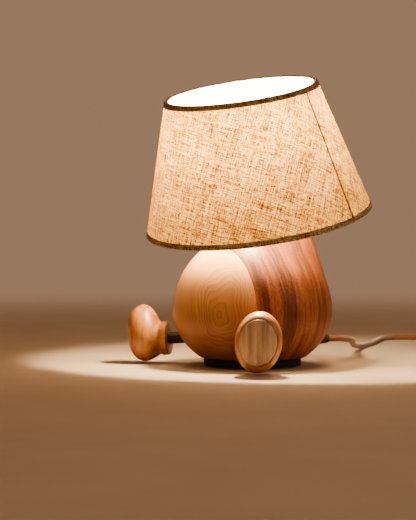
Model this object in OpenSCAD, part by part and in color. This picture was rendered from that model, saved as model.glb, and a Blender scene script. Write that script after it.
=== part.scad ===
// Seated wooden figure table lamp: a round two-wood body on a black ballast disc, two stub legs
// with turning feet, and a conical linen shade as the head on a knuckle that nods and turns.
// Origin: centre of the felt's underside. +Z is up, the belly faces -Y, +X is the figure's left.

/* [Body] */
// Radius of the body's round upper half
body_r = 79.5; // [70:0.5:90]
// Height of the body's widest point above the table
body_mid_z = 55; // [50:0.5:62]
// Vertical half-axis of the flattened lower half
belly_drop = 60.5; // [54:0.5:68]
// Backward lean of the cone that forms the nape
nape_lean = 22; // [16:0.5:26]
// Half-angle of the nape cone
nape_half = 34; // [31:0.5:38]
// Height of the flat on top that carries the neck
top_z = 134; // [126:0.5:138]
// Distance of the glue seam in front of the body's centre
seam_y = 45; // [38:0.5:52]
// Radius of the wiring chamber bored in from the seam
chamber_r = 34; // [26:0.5:38]
// Depth of the wiring chamber behind the seam
chamber_d = 78; // [60:1:84]

/* [Base] */
// Diameter of the black ballast disc
base_d = 97; // [84:1:104]
// Thickness of the ballast disc
base_h = 7.8; // [6:0.2:9]
// Thickness of the felt under it
felt_t = 1.2; // [0.8:0.1:2]
// Radius of the circle of base screws
base_screw_pcr = 32; // [26:1:38]

/* [Legs] */
// Diameter of the leg dowels
leg_d = 12; // [10:0.5:14]
// Angle of each leg away from straight ahead
leg_splay = 48.5; // [40:0.5:50]
// Downward slope of the legs
leg_drop = 4; // [2:0.5:6]
// Gap between the body's widest reach and a foot's collar
foot_gap = 20; // [15:0.5:28]
// How far the dowel is let into the body
leg_grip = 20; // [14:1:24]

/* [Feet] */
// Height of a foot's widest section
foot_h = 57.5; // [50:0.5:60]
// Width of a foot's widest section
foot_w = 44; // [38:0.5:50]
// Depth of a foot from its collar to the seat of the sole
foot_d = 37.5; // [34:0.5:44]
// Height of the widest section's centre above the leg's axis
foot_lift = 6.75; // [4:0.25:9]
// Diameter of the foot's collar
collar_d = 34; // [28:0.5:38]
// Height of the pale sole
sole_h = 44; // [38:0.5:48]
// Width of the pale sole
sole_w = 35; // [30:0.5:38]
// Crown of the sole
sole_crown = 4.5; // [3:0.5:6]
// Outward turn of each foot about its leg
foot_turn = 7; // [0:1:15]

/* [Neck] */
// Distance of the neck behind the body's centre
neck_y = 7.5; // [4:0.5:14]
// Height of the knuckle's pivot above the flat
pivot_up = 14; // [13:0.5:18]
// Forward tilt of the head
head_tilt = 16.1; // [8:0.1:20]
// Turn of the head towards the figure's left
head_turn = 23; // [0:1:25]
// Outside diameter of the threaded lamp tube
tube_d = 10; // [9:0.5:11]
// Diameter of the knuckle
knuckle_d = 18; // [16:0.5:20]

/* [Shade] */
// Outside radius at the lower rim
shade_r1 = 113.5; // [100:0.5:125]
// Outside radius at the upper rim
shade_r2 = 75.6; // [66:0.2:84]
// Height of the shade along its axis
shade_h = 131; // [118:0.5:140]
// Thickness of the linen
cloth_t = 0.7; // [0.5:0.1:1]
// Thickness of the stiff liner behind the linen
liner_t = 0.5; // [0.3:0.1:0.8]
// Wire gauge of the rims and arms
wire_d = 3; // [2:0.25:3.5]
// Height of the folded hems at the rims
hem_h = 5; // [4:0.25:7]
// Place of the lower rim below the pivot, along the head's axis
rim_drop = 1; // [0:0.5:4]

/* [Lampholder and bulb] */
// Outside diameter of the lampholder's threaded skirt
holder_d = 28; // [27:0.5:30]
// Start of the lampholder above the pivot
holder_s = 10; // [10:0.5:13]
// Length of the lampholder
holder_l = 44; // [42:1:48]
// Place of the shade carrier above the pivot
carrier_s = 42; // [40:0.5:44]
// Diameter of the bulb's glass
bulb_d = 45; // [40:1:50]
// Diameter of the bulb's screw cap
cap_d = 14; // [13.9:0.1:14]

/* [Cord] */
// Diameter of the textile cable
cord_d = 6.8; // [6:0.2:7.6]
// Height of the cable's outlet above the table
outlet_z = 24; // [21:0.5:27]
// Mean radius of the coil's turns
coil_r = 39; // [36:1:42]

/* [Hidden] */

run = 0.05;       // radial clearance where one piece turns on another
snug = 0.1;       // clearance of a glued or seated piece
big = 400;        // size of the half-space cutters
facets = 64;

// ---- places worked out from the driving sizes
base_z = felt_t + base_h;                       // underside of the wood
tangent_t = body_r * sin(nape_half);            // where the nape cone leaves the sphere
nape_apex = body_r / sin(nape_half);
nape_gap = 0.3;                                 // the cone starts this far inside the sphere
leg_root = [0, 16.5, 33.1];                     // the point where the two leg axes meet
leg_hip = body_r + 0.5;                         // where a leg leaves the body's skin
foot_at = leg_hip + foot_gap;
leg_in = leg_hip - leg_grip;
foot_bore = 22;                                 // depth of the dowel's hole in the foot
leg_len = foot_at + foot_bore - 0.5 - leg_in;
pivot = [0, neck_y, top_z + pivot_up];
chamber_z = 62;
roof_z = chamber_z + chamber_r + 2;             // flat bored into the chamber's roof for the washer
outlet_skin = body_r * cos(asin((body_mid_z - outlet_z) / belly_drop));
outlet_y = outlet_skin - 6.27;                  // where the gland starts inside the wood
outlet_drill_r = 4.2;                           // drilling from the gland's seat to the chamber
outlet_drill_tilt = 64;
gland_len = 36;
gland_r = 7;
seam_dowel_r = 3;
seam_dowel_l = 23;
screw_r = 2;                                    // foot and base screws
foot_web = 6;                                   // wood between the dowel's end and the washer
foot_washer_r = 5.5;
sole_seat = 2.5;                                // how deep the sole is let in
screw_head = 8;

function unit(v) = v / norm(v);

// One closed solid through a list of rings that have equal numbers of points.
module loft(rings) {
    n = len(rings);
    m = len(rings[0]);
    polyhedron(
        points = [for (r = rings) each r],
        faces = [
            [for (i = [0 : m - 1]) i],
            for (j = [0 : n - 2])
                for (i = [0 : m - 1])
                    each [
                        [j * m + i, (j + 1) * m + i, (j + 1) * m + (i + 1) % m],
                        [j * m + i, (j + 1) * m + (i + 1) % m, j * m + (i + 1) % m]
                    ],
            [for (i = [m - 1 : -1 : 0]) (n - 1) * m + i]
        ],
        convexity = 6);
}

// A point of a smooth curve between b and c, with a and d as their neighbours.
function curve(a, b, c, d, t) =
    (2 * b + (c - a) * t + (2 * a - 5 * b + 4 * c - d) * t * t
        + (3 * b - a - 3 * c + d) * t * t * t) / 2;

function smooth(p, steps) = [
    for (i = [0 : len(p) - 2])
        for (k = [0 : steps - 1])
            curve(p[max(i - 1, 0)], p[i], p[i + 1], p[min(i + 2, len(p) - 1)], k / steps),
    p[len(p) - 1]
];

function ring_at(p, dir, r, sides) =
    let (side = unit(cross(dir, [0, 0, 1])), up = cross(side, dir))
    [for (k = [0 : sides - 1]) let (q = 360 * (k + 0.5) / sides) p + r * (cos(q) * side + sin(q) * up)];

// A round tube through the points.
module tube_along(p, r, sides) {
    last = len(p) - 1;
    loft([for (i = [0 : last])
        ring_at(p[i], unit(p[min(i + 1, last)] - p[max(i - 1, 0)]), r, sides)]);
}

module tube(r_out, r_in, h) {
    difference() {
        cylinder(r = r_out, h = h, $fn = facets);
        translate([0, 0, -1]) cylinder(r = r_in, h = h + 2, $fn = facets);
    }
}

module hex_nut(across, r_in, h) {
    difference() {
        cylinder(d = across / cos(30), h = h, $fn = 6);
        translate([0, 0, -1]) cylinder(r = r_in, h = h + 2, $fn = facets);
    }
}

// ---- the body
module lower_half() {
    steps = 24;
    angle0 = asin((body_mid_z - base_z) / belly_drop);
    rotate_extrude($fn = 96)
        polygon([
            [0, base_z],
            for (i = [0 : steps])
                let (q = angle0 * (1 - i / steps))
                [body_r * cos(q), body_mid_z - belly_drop * sin(q)],
            [0, body_mid_z]
        ]);
}

module upper_half() {
    intersection() {
        translate([0, 0, body_mid_z]) sphere(r = body_r, $fn = 96);
        translate([-big / 2, -big / 2, body_mid_z]) cube(big);
    }
}

module nape() {
    cone_h = 62;
    function cone_r(t) = (nape_apex - t) * tan(nape_half) - nape_gap / cos(nape_half);
    translate([0, 0, body_mid_z]) rotate([-nape_lean, 0, 0]) translate([0, 0, tangent_t])
        cylinder(r1 = cone_r(tangent_t), r2 = cone_r(tangent_t + cone_h), h = cone_h, $fn = 96);
}

module body_solid() {
    difference() {
        union() {
            lower_half();
            upper_half();
            nape();
        }
        translate([-big / 2, -big / 2, top_z]) cube(big);
    }
}

module front_space() {
    translate([-big / 2, -big - seam_y, -big / 2]) cube(big);
}

module seam_dowel_places() {
    for (x = [-46, 46])
        translate([x, -seam_y, 78]) rotate([90, 0, 0]) children();
    translate([0, -seam_y, 17.5]) rotate([90, 0, 0]) children();
}

module on_leg(side) {
    mirror([side < 0 ? 1 : 0, 0, 0])
        translate(leg_root) rotate([0, leg_drop, leg_splay - 90]) children();
}

// The holes that take the leg dowels; a thick dowel reaches over the seam into the belly.
module leg_sockets() {
    for (side = [-1, 1])
        on_leg(side) translate([leg_in, 0, 0]) rotate([0, 90, 0])
            cylinder(r = leg_d / 2 + snug, h = big / 4, $fn = facets);
}

module base_screw_places() {
    for (q = [90, 210, 330])
        rotate([0, 0, q]) translate([base_screw_pcr, 0, 0]) children();
}

module belly_front() {
    color("burlywood") difference() {
        intersection() {
            body_solid();
            front_space();
        }
        seam_dowel_places() translate([0, 0, -1])
            cylinder(r = seam_dowel_r + snug, h = seam_dowel_l / 2 + 1.5, $fn = 32);
        leg_sockets();
    }
}

module body_back() {
    color("saddlebrown") difference() {
        body_solid();
        front_space();
        seam_dowel_places() translate([0, 0, -seam_dowel_l / 2 - 0.5])
            cylinder(r = seam_dowel_r + snug, h = seam_dowel_l / 2 + 1.5, $fn = 32);
        // wiring chamber, bored in before the belly is glued on
        translate([0, -seam_y - 1, chamber_z]) rotate([-90, 0, 0])
            cylinder(r = chamber_r, h = chamber_d + 1, $fn = facets);
        // neck hole and the flat for its washer
        translate([0, neck_y, chamber_z]) cylinder(r = tube_d / 2 + snug, h = big, $fn = facets);
        translate([0, neck_y, chamber_z]) cylinder(r = 11, h = roof_z - chamber_z, $fn = facets);
        leg_sockets();
        // cable outlet: a seat for the gland and a drilling on into the chamber
        translate([0, outlet_y, outlet_z]) rotate([-90, 0, 0])
            cylinder(r = gland_r + snug, h = 40, $fn = facets);
        translate([0, outlet_y + 1, outlet_z]) rotate([outlet_drill_tilt, 0, 0])
            cylinder(r = outlet_drill_r, h = 60, $fn = 32);
        base_screw_places() translate([0, 0, base_z - 1]) cylinder(r = screw_r, h = 14, $fn = 32);
    }
}

module seam_dowels() {
    color("tan") seam_dowel_places()
        translate([0, 0, -seam_dowel_l / 2]) cylinder(r = seam_dowel_r, h = seam_dowel_l, $fn = 32);
}

module base_disc() {
    color("#181818") difference() {
        translate([0, 0, felt_t]) cylinder(d = base_d, h = base_h, $fn = 96);
        base_screw_places() {
            cylinder(r = screw_r + snug, h = big / 8, $fn = 32);
            translate([0, 0, felt_t - 1]) cylinder(r = screw_head / 2 + 0.2, h = 4.5, $fn = 32);
        }
    }
}

module felt_pad() {
    color("#101010") cylinder(d = base_d - 2, h = felt_t, $fn = 96);
}

module base_screws() {
    color("silver") base_screw_places() {
        translate([0, 0, felt_t + 0.4]) cylinder(r = screw_head / 2, h = 3, $fn = 32);
        translate([0, 0, felt_t + 3.3]) cylinder(r = screw_r - 0.05, h = 15.5, $fn = 32);
    }
}

// ---- legs and feet, built along +X from the point where the leg axes meet
module leg(side) {
    color("#141210") on_leg(side) translate([leg_in, 0, 0]) rotate([0, 90, 0])
        difference() {
            cylinder(d = leg_d, h = leg_len, $fn = facets);
            translate([0, 0, leg_len - 19]) cylinder(r = screw_r, h = 20, $fn = 32);
        }
}

module leg_left() { leg(1); }
module leg_right() { leg(-1); }

// Sections of a foot: place along its depth, half width, top and bottom from the leg's axis.
function foot_sections() =
    let (c = collar_d / 2, w = foot_w / 2, up = foot_h / 2 + foot_lift, dn = foot_lift - foot_h / 2)
    [
        [0, c - 1, c - 1, 1 - c],
        [1.2, c, c, -c],
        [6, c, c, -c],
        [8.2, c - 1, c - 0.6, 1.2 - c],
        [10.5, c + 0.4, c + 2.6, 0.8 - c],
        [14, w - 2.8, up - 8.5, dn + 3.6],
        [18.5, w - 0.9, up - 2.6, dn + 1.4],
        [23.5, w, up, dn],
        [28, w, up + 0.2, dn + 0.2],
        [32, w - 0.8, up - 1, dn + 1.4],
        [35, w - 2, up - 2.6, dn + 3.6],
        [foot_d - 0.8, w - 3.2, up - 4, dn + 5.4],
        [foot_d, sole_w / 2 + 0.6, sole_z() + sole_h / 2 + 0.6, sole_z() - sole_h / 2 - 0.6]
    ];

function sole_z() = foot_lift + 1;

function oval(x, w, up, dn, sides) =
    [for (k = [0 : sides - 1])
        let (q = 360 * k / sides)
        [x, w * cos(q), (up + dn) / 2 + (up - dn) / 2 * sin(q)]];

module on_foot(side) {
    on_leg(side) rotate([-foot_turn, 0, 0]) translate([foot_at, 0, 0]) children();
}

module foot(side) {
    color("peru") on_foot(side) difference() {
        loft([for (s = foot_sections()) oval(s[0], s[1], s[2], s[3], 40)]);
        // seat of the sole
        loft([for (x = [foot_d - sole_seat, foot_d + 2])
            oval(x, sole_w / 2, sole_z() + sole_h / 2, sole_z() - sole_h / 2, 40)]);
        // dowel, screw and washer
        translate([-1, 0, 0]) rotate([0, 90, 0])
            cylinder(r = leg_d / 2 + run, h = foot_bore + 1, $fn = facets);
        translate([foot_bore - 1, 0, 0]) rotate([0, 90, 0])
            cylinder(r = screw_r + run, h = foot_d, $fn = 32);
        translate([foot_bore + foot_web, 0, 0]) rotate([0, 90, 0])
            cylinder(r = foot_washer_r + 0.5, h = foot_d, $fn = 32);
    }
}

module foot_left() { foot(1); }
module foot_right() { foot(-1); }

module sole(side) {
    steps = 6;
    color("wheat") on_foot(side) loft([
        oval(foot_d - sole_seat + 0.02, sole_w / 2 - snug, sole_z() + sole_h / 2 - snug,
            sole_z() - sole_h / 2 + snug, 40),
        for (i = [0 : steps])
            let (q = 84 * i / steps, k = cos(q), x = foot_d + 0.3 + (sole_crown - 0.3) * sin(q))
            oval(x, (sole_w / 2 - snug) * k, sole_z() + (sole_h / 2 - snug) * k,
                sole_z() - (sole_h / 2 - snug) * k, 40)
    ]);
}

module sole_left() { sole(1); }
module sole_right() { sole(-1); }

module foot_washers() {
    color("silver") for (side = [-1, 1])
        on_leg(side) translate([foot_at + foot_bore + foot_web + 0.05, 0, 0]) rotate([0, 90, 0])
            tube(foot_washer_r, screw_r + run, 0.8);
}

module foot_screws() {
    color("silver") for (side = [-1, 1])
        on_leg(side) translate([foot_at + foot_bore + foot_web + 0.9, 0, 0]) rotate([0, 90, 0]) {
            cylinder(r = screw_head / 2, h = 2.4, $fn = 32);
            translate([0, 0, -24]) cylinder(r = screw_r - 0.02, h = 24.1, $fn = 32);
        }
}

// ---- the neck
module neck_tube() {
    color("silver") translate([0, neck_y, roof_z - 10])
        tube(tube_d / 2, tube_d / 2 - 1.6, top_z + 7 - (roof_z - 10));
}

module tube_washer() {
    color("silver") translate([0, neck_y, roof_z - 1.55]) tube(10, tube_d / 2 + run, 1.5);
}

module tube_nut() {
    color("silver") translate([0, neck_y, roof_z - 7.05]) hex_nut(14, tube_d / 2 + run, 5.5);
}

module neck_plate() {
    color("#1c1c1c") translate([0, neck_y, top_z + 0.02]) difference() {
        union() {
            cylinder(r = 19, h = 1.6, $fn = facets);
            cylinder(r1 = 17, r2 = 12, h = 3, $fn = facets);
        }
        translate([0, 0, -1]) cylinder(r = tube_d / 2 + run, h = 6, $fn = facets);
    }
}

module at_pivot() {
    translate(pivot) rotate([0, 0, head_turn]) children();
}

module on_head() {
    translate(pivot) rotate([head_tilt, 0, head_turn]) children();
}

ear_in = 3.3;      // inner face of each ear from the middle
ear_out = 7;       // outer face
eye_r = 6.4;       // rounding of the ears about the pivot

module knuckle_fork() {
    floor_z = 3.1 - pivot_up;
    color("#202020") at_pivot() difference() {
        union() {
            translate([0, 0, floor_z]) cylinder(d = knuckle_d, h = 4.4, $fn = facets);
            intersection() {
                translate([0, 0, floor_z]) cylinder(d = knuckle_d, h = big / 8, $fn = facets);
                for (x = [-ear_out, ear_in])
                    translate([x, 0, 0]) union() {
                        rotate([0, 90, 0]) cylinder(r = eye_r, h = ear_out - ear_in, $fn = facets);
                        translate([0, -eye_r, floor_z + 4])
                            cube([ear_out - ear_in, 2 * eye_r, -floor_z - 4]);
                    }
            }
        }
        translate([0, 0, floor_z - 1]) cylinder(r = tube_d / 2 + run, h = 5, $fn = facets);
        translate([0, 0, floor_z - 1]) cylinder(r = 3, h = 10, $fn = 32);
        translate([-20, 0, 0]) rotate([0, 90, 0]) cylinder(r = 2 + run, h = 40, $fn = 32);
    }
}

module knuckle_tongue() {
    color("#202020") on_head() difference() {
        union() {
            translate([-ear_in + 0.06, 0, 0]) rotate([0, 90, 0])
                cylinder(r = 5.9, h = 2 * (ear_in - 0.06), $fn = facets);
            translate([-ear_in + 0.06, -4.4, 0]) cube([2 * (ear_in - 0.06), 8.8, holder_s - 2.5]);
            translate([0, 0, 7]) cylinder(d = knuckle_d - 1, h = holder_s - 7, $fn = facets);
            translate([0, 0, holder_s - 0.5]) cylinder(d = tube_d, h = 9, $fn = facets);
        }
        translate([-20, 0, 0]) rotate([0, 90, 0]) cylinder(r = 2 + run, h = 40, $fn = 32);
        translate([0, 0, 6.5]) cylinder(r = 3.2, h = 20, $fn = 32);
    }
}

module knuckle_bolt() {
    color("silver") at_pivot() rotate([0, 90, 0]) {
        translate([0, 0, -ear_out - 2.65]) cylinder(r = 3.6, h = 2.6, $fn = 32);
        translate([0, 0, -ear_out - 0.1]) cylinder(r = 2, h = 2 * ear_out + 4.5, $fn = 32);
    }
}

module knuckle_nut() {
    color("silver") at_pivot() translate([ear_out + 0.05, 0, 0]) rotate([0, 90, 0])
        hex_nut(7, 2 + 0.03, 3.2);
}

// ---- the lampholder, along the head's axis
holder_r = holder_d / 2;
cap_top = holder_s + 19;
holder_top = holder_s + holder_l;
core_r = 11.4;

module holder_cap() {
    color("#161616") on_head() translate([0, 0, holder_s + 0.03]) rotate_extrude($fn = facets)
        polygon([
            [tube_d / 2 + run, 0], [9.6, 0], [10.4, 0.8], [12.4, 3], [13.6, 7], [holder_r, 11],
            [holder_r, 19], [core_r + 0.3, 19], [core_r + 0.3, 11], [tube_d / 2 + run, 8.5]
        ]);
}

module holder_core() {
    floor_h = 3.4;
    color("ivory") on_head() translate([0, 0, holder_s + 11.2]) difference() {
        cylinder(r = core_r, h = 28, $fn = facets);
        translate([0, 0, floor_h]) cylinder(r = 8.2, h = 30, $fn = facets);
        translate([0, 0, -1]) cylinder(r = 2.4, h = 8, $fn = 32);
        for (x = [-9.8, 9.8])
            translate([x, 0, -1]) cylinder(r = 0.9, h = 8, $fn = 24);
    }
}

module holder_skirt() {
    color("#161616") on_head() translate([0, 0, cap_top + 0.06]) difference() {
        cylinder(r = holder_r - 0.6, h = holder_top - cap_top, $fn = facets);
        translate([0, 0, -1]) cylinder(r = core_r + snug, h = 60, $fn = facets);
    }
}

module holder_thread() {
    color("gold") on_head() translate([0, 0, holder_s + 14.7])
        tube(8.15, cap_d / 2 + 0.45, 22);
}

module holder_contact() {
    color("gold") on_head() translate([0, 0, holder_s + 12]) {
        cylinder(r = 2.3, h = 5.4, $fn = 32);
        translate([0, 0, 2.65]) cylinder(r = 4, h = 0.8, $fn = 32);
    }
}

module shade_nut(h) {
    notches = 12;
    difference() {
        tube(20.5, holder_r + run - 0.6, h);
        for (k = [0 : notches - 1])
            rotate([0, 0, 360 / notches * k]) translate([21.4, 0, -1])
                cylinder(r = 2, h = h + 2, $fn = 24);
    }
}

module ring_lower() {
    color("#1a1a1a") on_head() translate([0, 0, carrier_s - 5.05]) shade_nut(5);
}

module ring_upper() {
    color("#1a1a1a") on_head() translate([0, 0, carrier_s + 1.55]) shade_nut(5);
}

// ---- the bulb
bulb_s = holder_s + 17.6;      // tip of the bulb's centre contact
glass_s = bulb_s + 24;
ball_s = bulb_s + 55;

module bulb_cap() {
    color("silver") on_head() rotate_extrude($fn = facets)
        polygon([
            [0, bulb_s], [2.2, bulb_s], [2.4, bulb_s + 1], [4.5, bulb_s + 2.6],
            [cap_d / 2 - 1, bulb_s + 4.4], [cap_d / 2, bulb_s + 5.4], [cap_d / 2, glass_s - 1.5],
            [8.2, glass_s + 1], [7.4, glass_s + 1], [6.2, glass_s - 1.5], [6.2, bulb_s + 6],
            [0, bulb_s + 4.6]
        ]);
}

// Outline of the glass from its neck to its top.
function glass_outline(t) =
    let (r = bulb_d / 2 - t, low = 46, steps = 14)
    [
        [7.2 - t, glass_s + 1.1 + t], [8.3 - t, glass_s + 3], [9.4 - t, glass_s + 8],
        [11.8 - t, glass_s + 13],
        for (i = [0 : steps])
            let (q = -low + (90 + low) * i / steps)
            [max(r * cos(q), 0), ball_s + r * sin(q)]
    ];

module bulb_glass() {
    color([1, 0.95, 0.85, 0.4]) on_head() rotate_extrude($fn = facets) difference() {
        polygon([[0, glass_s + 1.1], each glass_outline(0)]);
        polygon([[0, glass_s + 2.1], each glass_outline(1)]);
    }
}

module bulb_stem() {
    color("white") on_head() rotate_extrude($fn = 32)
        polygon([
            [0, glass_s + 2.4], [5.4, glass_s + 2.4], [3, glass_s + 8], [1.6, glass_s + 16],
            [1.6, ball_s - 6], [0, ball_s - 5]
        ]);
}

module bulb_filaments() {
    color("orange") on_head() for (k = [0 : 3])
        rotate([0, 0, 45 + 90 * k]) translate([4.2, 0, ball_s - 14]) rotate([0, 9, 0])
            cylinder(r = 0.9, h = 30, $fn = 24);
}

// ---- the shade, along the head's axis
rim_s = -rim_drop;
function shade_r(s) = shade_r1 + (shade_r2 - shade_r1) * (s - rim_s) / shade_h;
slope = atan((shade_r1 - shade_r2) / shade_h);
wire_in = liner_t + cloth_t + 0.1;

// A conical skin between two heights, from depth a to depth b behind the outer face.
module skin(s0, s1, a, b) {
    rotate_extrude($fn = 128)
        polygon([
            [shade_r(s0) - a, s0], [shade_r(s1) - a, s1], [shade_r(s1) - b, s1],
            [shade_r(s0) - b, s0]
        ]);
}

module shade_linen() {
    color("bisque") on_head()
        skin(rim_s + 0.4, rim_s + shade_h - 0.4, 0, cloth_t);
}

module shade_liner() {
    color("white") on_head()
        skin(rim_s + 0.6, rim_s + shade_h - 0.6, cloth_t + 0.02, cloth_t + liner_t);
}

function wire_centre(s) = [shade_r(s) - (wire_in + wire_d / 2) / cos(slope), s];
wire_up = wire_d / 2 + 0.4;                     // a rim wire's centre, in from the linen's edge

module rim_wire(s) {
    rotate_extrude($fn = 128) translate(wire_centre(s)) circle(d = wire_d, $fn = 32);
}

module rim_wire_lower() {
    color("white") on_head() rim_wire(rim_s + wire_up);
}

module rim_wire_upper() {
    color("white") on_head() rim_wire(rim_s + shade_h - wire_up);
}

// The band of folded linen that shows outside at a rim.
module hem(s_edge, into) {
    s_in = s_edge + into * hem_h;
    t = 0.5;
    skin(min(s_edge, s_in), max(s_edge, s_in), -t - 0.02, -0.02);
}

module hem_lower() {
    color("dimgray") on_head() hem(rim_s, 1);
}

module hem_upper() {
    color("dimgray") on_head() hem(rim_s + shade_h, -1);
}

// The carrier's arms run from its ring to the lower rim wire and butt against it.
carrier_r = 25;
arm_end = [carrier_r - 3, carrier_s + 0.8];
arm_line = arm_end - wire_centre(rim_s + wire_up);
arm_start = wire_centre(rim_s + wire_up) + unit(arm_line) * (wire_d / 2 + 0.02);
arm_angles = [83, 203, 323];

module shade_carrier() {
    color("white") on_head() {
        translate([0, 0, carrier_s]) tube(carrier_r, holder_r - 0.3, 1.5);
        for (q = arm_angles)
            rotate([0, 0, q]) translate([arm_start.x, 0, arm_start.y])
                rotate([0, -atan(-arm_line.x / arm_line.y), 0])
                    cylinder(d = wire_d - 0.5, h = norm(arm_end - arm_start), $fn = 24);
    }
}

// ---- wiring
module terminal_block() {
    color("whitesmoke") translate([-10, -8, chamber_z - chamber_r + 1.8]) difference() {
        cube([20, 22, 12]);
        for (x = [5, 15])
            translate([x, -1, 6]) rotate([-90, 0, 0]) cylinder(r = 1.7, h = 30, $fn = 24);
    }
}

wire_route = [
    [5, 13.9, 35.8], [4.4, 17, 36.6], [3.4, 19.5, 42], [3, 20, 52], [2, 17, 64], [1.6, 10, 78],
    [1.6, neck_y, 90], [1.6, neck_y, top_z + 6]
];

module lamp_wires() {
    color("chocolate") for (side = [0, 1])
        mirror([side, 0, 0]) tube_along(smooth(wire_route, 3), 1.1, 8);
}

module cord_gland() {
    color("#1d1a18") translate([0, outlet_y, outlet_z]) rotate([-90, 0, 0]) difference() {
        union() {
            cylinder(r = gland_r, h = 7, $fn = facets);
            translate([0, 0, 6]) cylinder(r = gland_r - 0.8, h = 4, $fn = facets);
            translate([0, 0, 9.9]) cylinder(r1 = gland_r - 0.8, r2 = cord_d / 2 + 0.9, h = gland_len - 9.9,
                $fn = facets);
        }
        translate([0, 0, -1]) cylinder(r = cord_d / 2, h = gland_len + 2, $fn = facets);
    }
}

clamp_y = 25;
clamp_x = 6.4;         // of each clamp screw
clamp_bore_r = 2.6;    // takes the cable's two cores without their braid

module cord_clamp() {
    color("whitesmoke") translate([0, clamp_y, chamber_z - chamber_r + 1.4]) difference() {
        translate([-9, -4, 0]) cube([18, 8, 7.6]);
        translate([0, -5, 3.8]) rotate([-90, 0, 0]) cylinder(r = clamp_bore_r, h = 20, $fn = 32);
        for (x = [-clamp_x, clamp_x])
            translate([x, 0, -1]) cylinder(r = 1.4, h = 12, $fn = 24);
    }
}

module clamp_screws() {
    color("silver") for (x = [-clamp_x, clamp_x])
        translate([x, clamp_y, chamber_z - chamber_r + 3.8]) {
            translate([0, 0, 5.25]) cylinder(r = 2.2, h = 1.6, $fn = 24);
            cylinder(r = 1.3, h = 5.3, $fn = 24);
        }
}

// ---- the free cord. Each list is the line that the cable's centre follows.
rest_z = cord_d / 2;
inlet_z = rest_z + 2.6;                         // where the cable enters the switch
lead_route = [
    [0, outlet_y + 0.5, outlet_z], [0, 80, outlet_z], [0, 98, outlet_z], [-1, 114, 23.5],
    [-7, 132, 22], [-20, 150, 19.5], [-40, 168, 16], [-64, 190, 12], [-88, 214, 8],
    [-112, 242, 5], [-136, 272, rest_z], [-160, 304, rest_z], [-184, 334, rest_z],
    [-208, 360, rest_z], [-222, 384, rest_z], [-222, 408, rest_z], [-206, 424, rest_z],
    [-182, 424, rest_z + 0.6], [-158, 412, rest_z + 2], [-136, 396, inlet_z]
];
link_route = [
    [-86, 358, inlet_z], [-76, 350, rest_z + 1], [-67, 340, rest_z], [-56, 324, rest_z + 0.5],
    [-48, 306, rest_z + 1]
];
switch_mid = [-111, 377];
switch_turn = -37.5;
coil_at = [-7, 314];
coil_w = 2 * cord_d;
coil_h = 3 * cord_d - 0.8;
tie_t = 0.8;
tail_route = [
    [13, 350, rest_z + 1], [-2, 360, rest_z], [-18, 367, rest_z + 1.4], [-32, 376, rest_z + 3.4]
];
plug_at = [-32, 376];
plug_turn = 145;

module cable(route, steps) {
    color("sienna") tube_along(smooth(route, steps), cord_d / 2, 8);
}

module cord_lead() { cable(lead_route, 2); }
module cord_link() { cable(link_route, 2); }
module cord_tail() { cable(tail_route, 2); }

module cord_coil() {
    color("sienna") translate([coil_at.x, coil_at.y, tie_t + 0.05]) rotate_extrude($fn = 72)
        translate([coil_r - coil_w / 2, 0]) square([coil_w, coil_h]);
}

module coil_tie() {
    color("#202020") translate([coil_at.x, coil_at.y, 0]) rotate([0, 0, -38])
        rotate_extrude(angle = 16, $fn = 72) difference() {
            translate([coil_r - coil_w / 2 - tie_t, 0])
                square([coil_w + 2 * tie_t, coil_h + 2 * tie_t + 0.1]);
            translate([coil_r - coil_w / 2 - 0.03, tie_t])
                square([coil_w + 0.06, coil_h + 0.1]);
        }
}

switch_l = 62;
switch_w = 28;
switch_h = 19;
split_z = 9;

module at_switch() {
    translate([switch_mid.x, switch_mid.y, 0]) rotate([0, 0, switch_turn]) children();
}

module switch_outline(inset) {
    r = 9;
    hull()
        for (x = [-1, 1])
            for (y = [-1, 1])
                translate([x * (switch_l / 2 - r), y * (switch_w / 2 - r)])
                    circle(r = r - inset, $fn = 48);
}

module switch_base() {
    color("#17130f") at_switch() difference() {
        linear_extrude(split_z) switch_outline(0);
        translate([0, 0, 1.8]) linear_extrude(split_z) switch_outline(2);
        for (x = [-1, 1])
            translate([x * switch_l / 2, 0, inlet_z]) rotate([0, 90, 0])
                translate([0, 0, -4]) cylinder(r = cord_d / 2 + 0.05, h = 8, $fn = 32);
    }
}

rocker_l = 20;
rocker_w = 10;
rocker_z = 14.5;
lug_y = rocker_w / 2 + 0.4;
pin_r = 1.5;

// The cover holds the rocker's pins in two lugs under its top.
module switch_cover() {
    color("#17130f") at_switch() difference() {
        union() {
            difference() {
                translate([0, 0, split_z + 0.02]) linear_extrude(switch_h - split_z) switch_outline(0);
                translate([0, 0, split_z - 1]) linear_extrude(switch_h - split_z - 1)
                    switch_outline(2);
            }
            translate([-3, -lug_y - 2, rocker_z - 3.4]) cube([6, 2 * lug_y + 4, switch_h - rocker_z]);
        }
        translate([-rocker_l / 2 - 0.5, -lug_y, split_z]) cube([rocker_l + 1, 2 * lug_y, 30]);
        translate([0, -lug_y - 5, rocker_z]) rotate([-90, 0, 0])
            cylinder(r = pin_r + run, h = 2 * lug_y + 10, $fn = 24);
    }
}

module switch_rocker() {
    color("#2a2622") at_switch() translate([0, 0, rocker_z]) {
        rotate([90, 0, 0]) translate([0, 0, -rocker_w / 2]) linear_extrude(rocker_w)
            polygon([
                [-8.6, 6.2], [0, 4.8], [8.6, 3.4], [8.4, 0.4], [3.6, -3.2], [-3.6, -3.2], [-8.4, 0.4]
            ]);
        translate([0, -lug_y - 1.8, 0]) rotate([-90, 0, 0])
            cylinder(r = pin_r, h = 2 * lug_y + 3.6, $fn = 24);
    }
}

pin_y = 9.5;
pin_d = 4;

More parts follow.
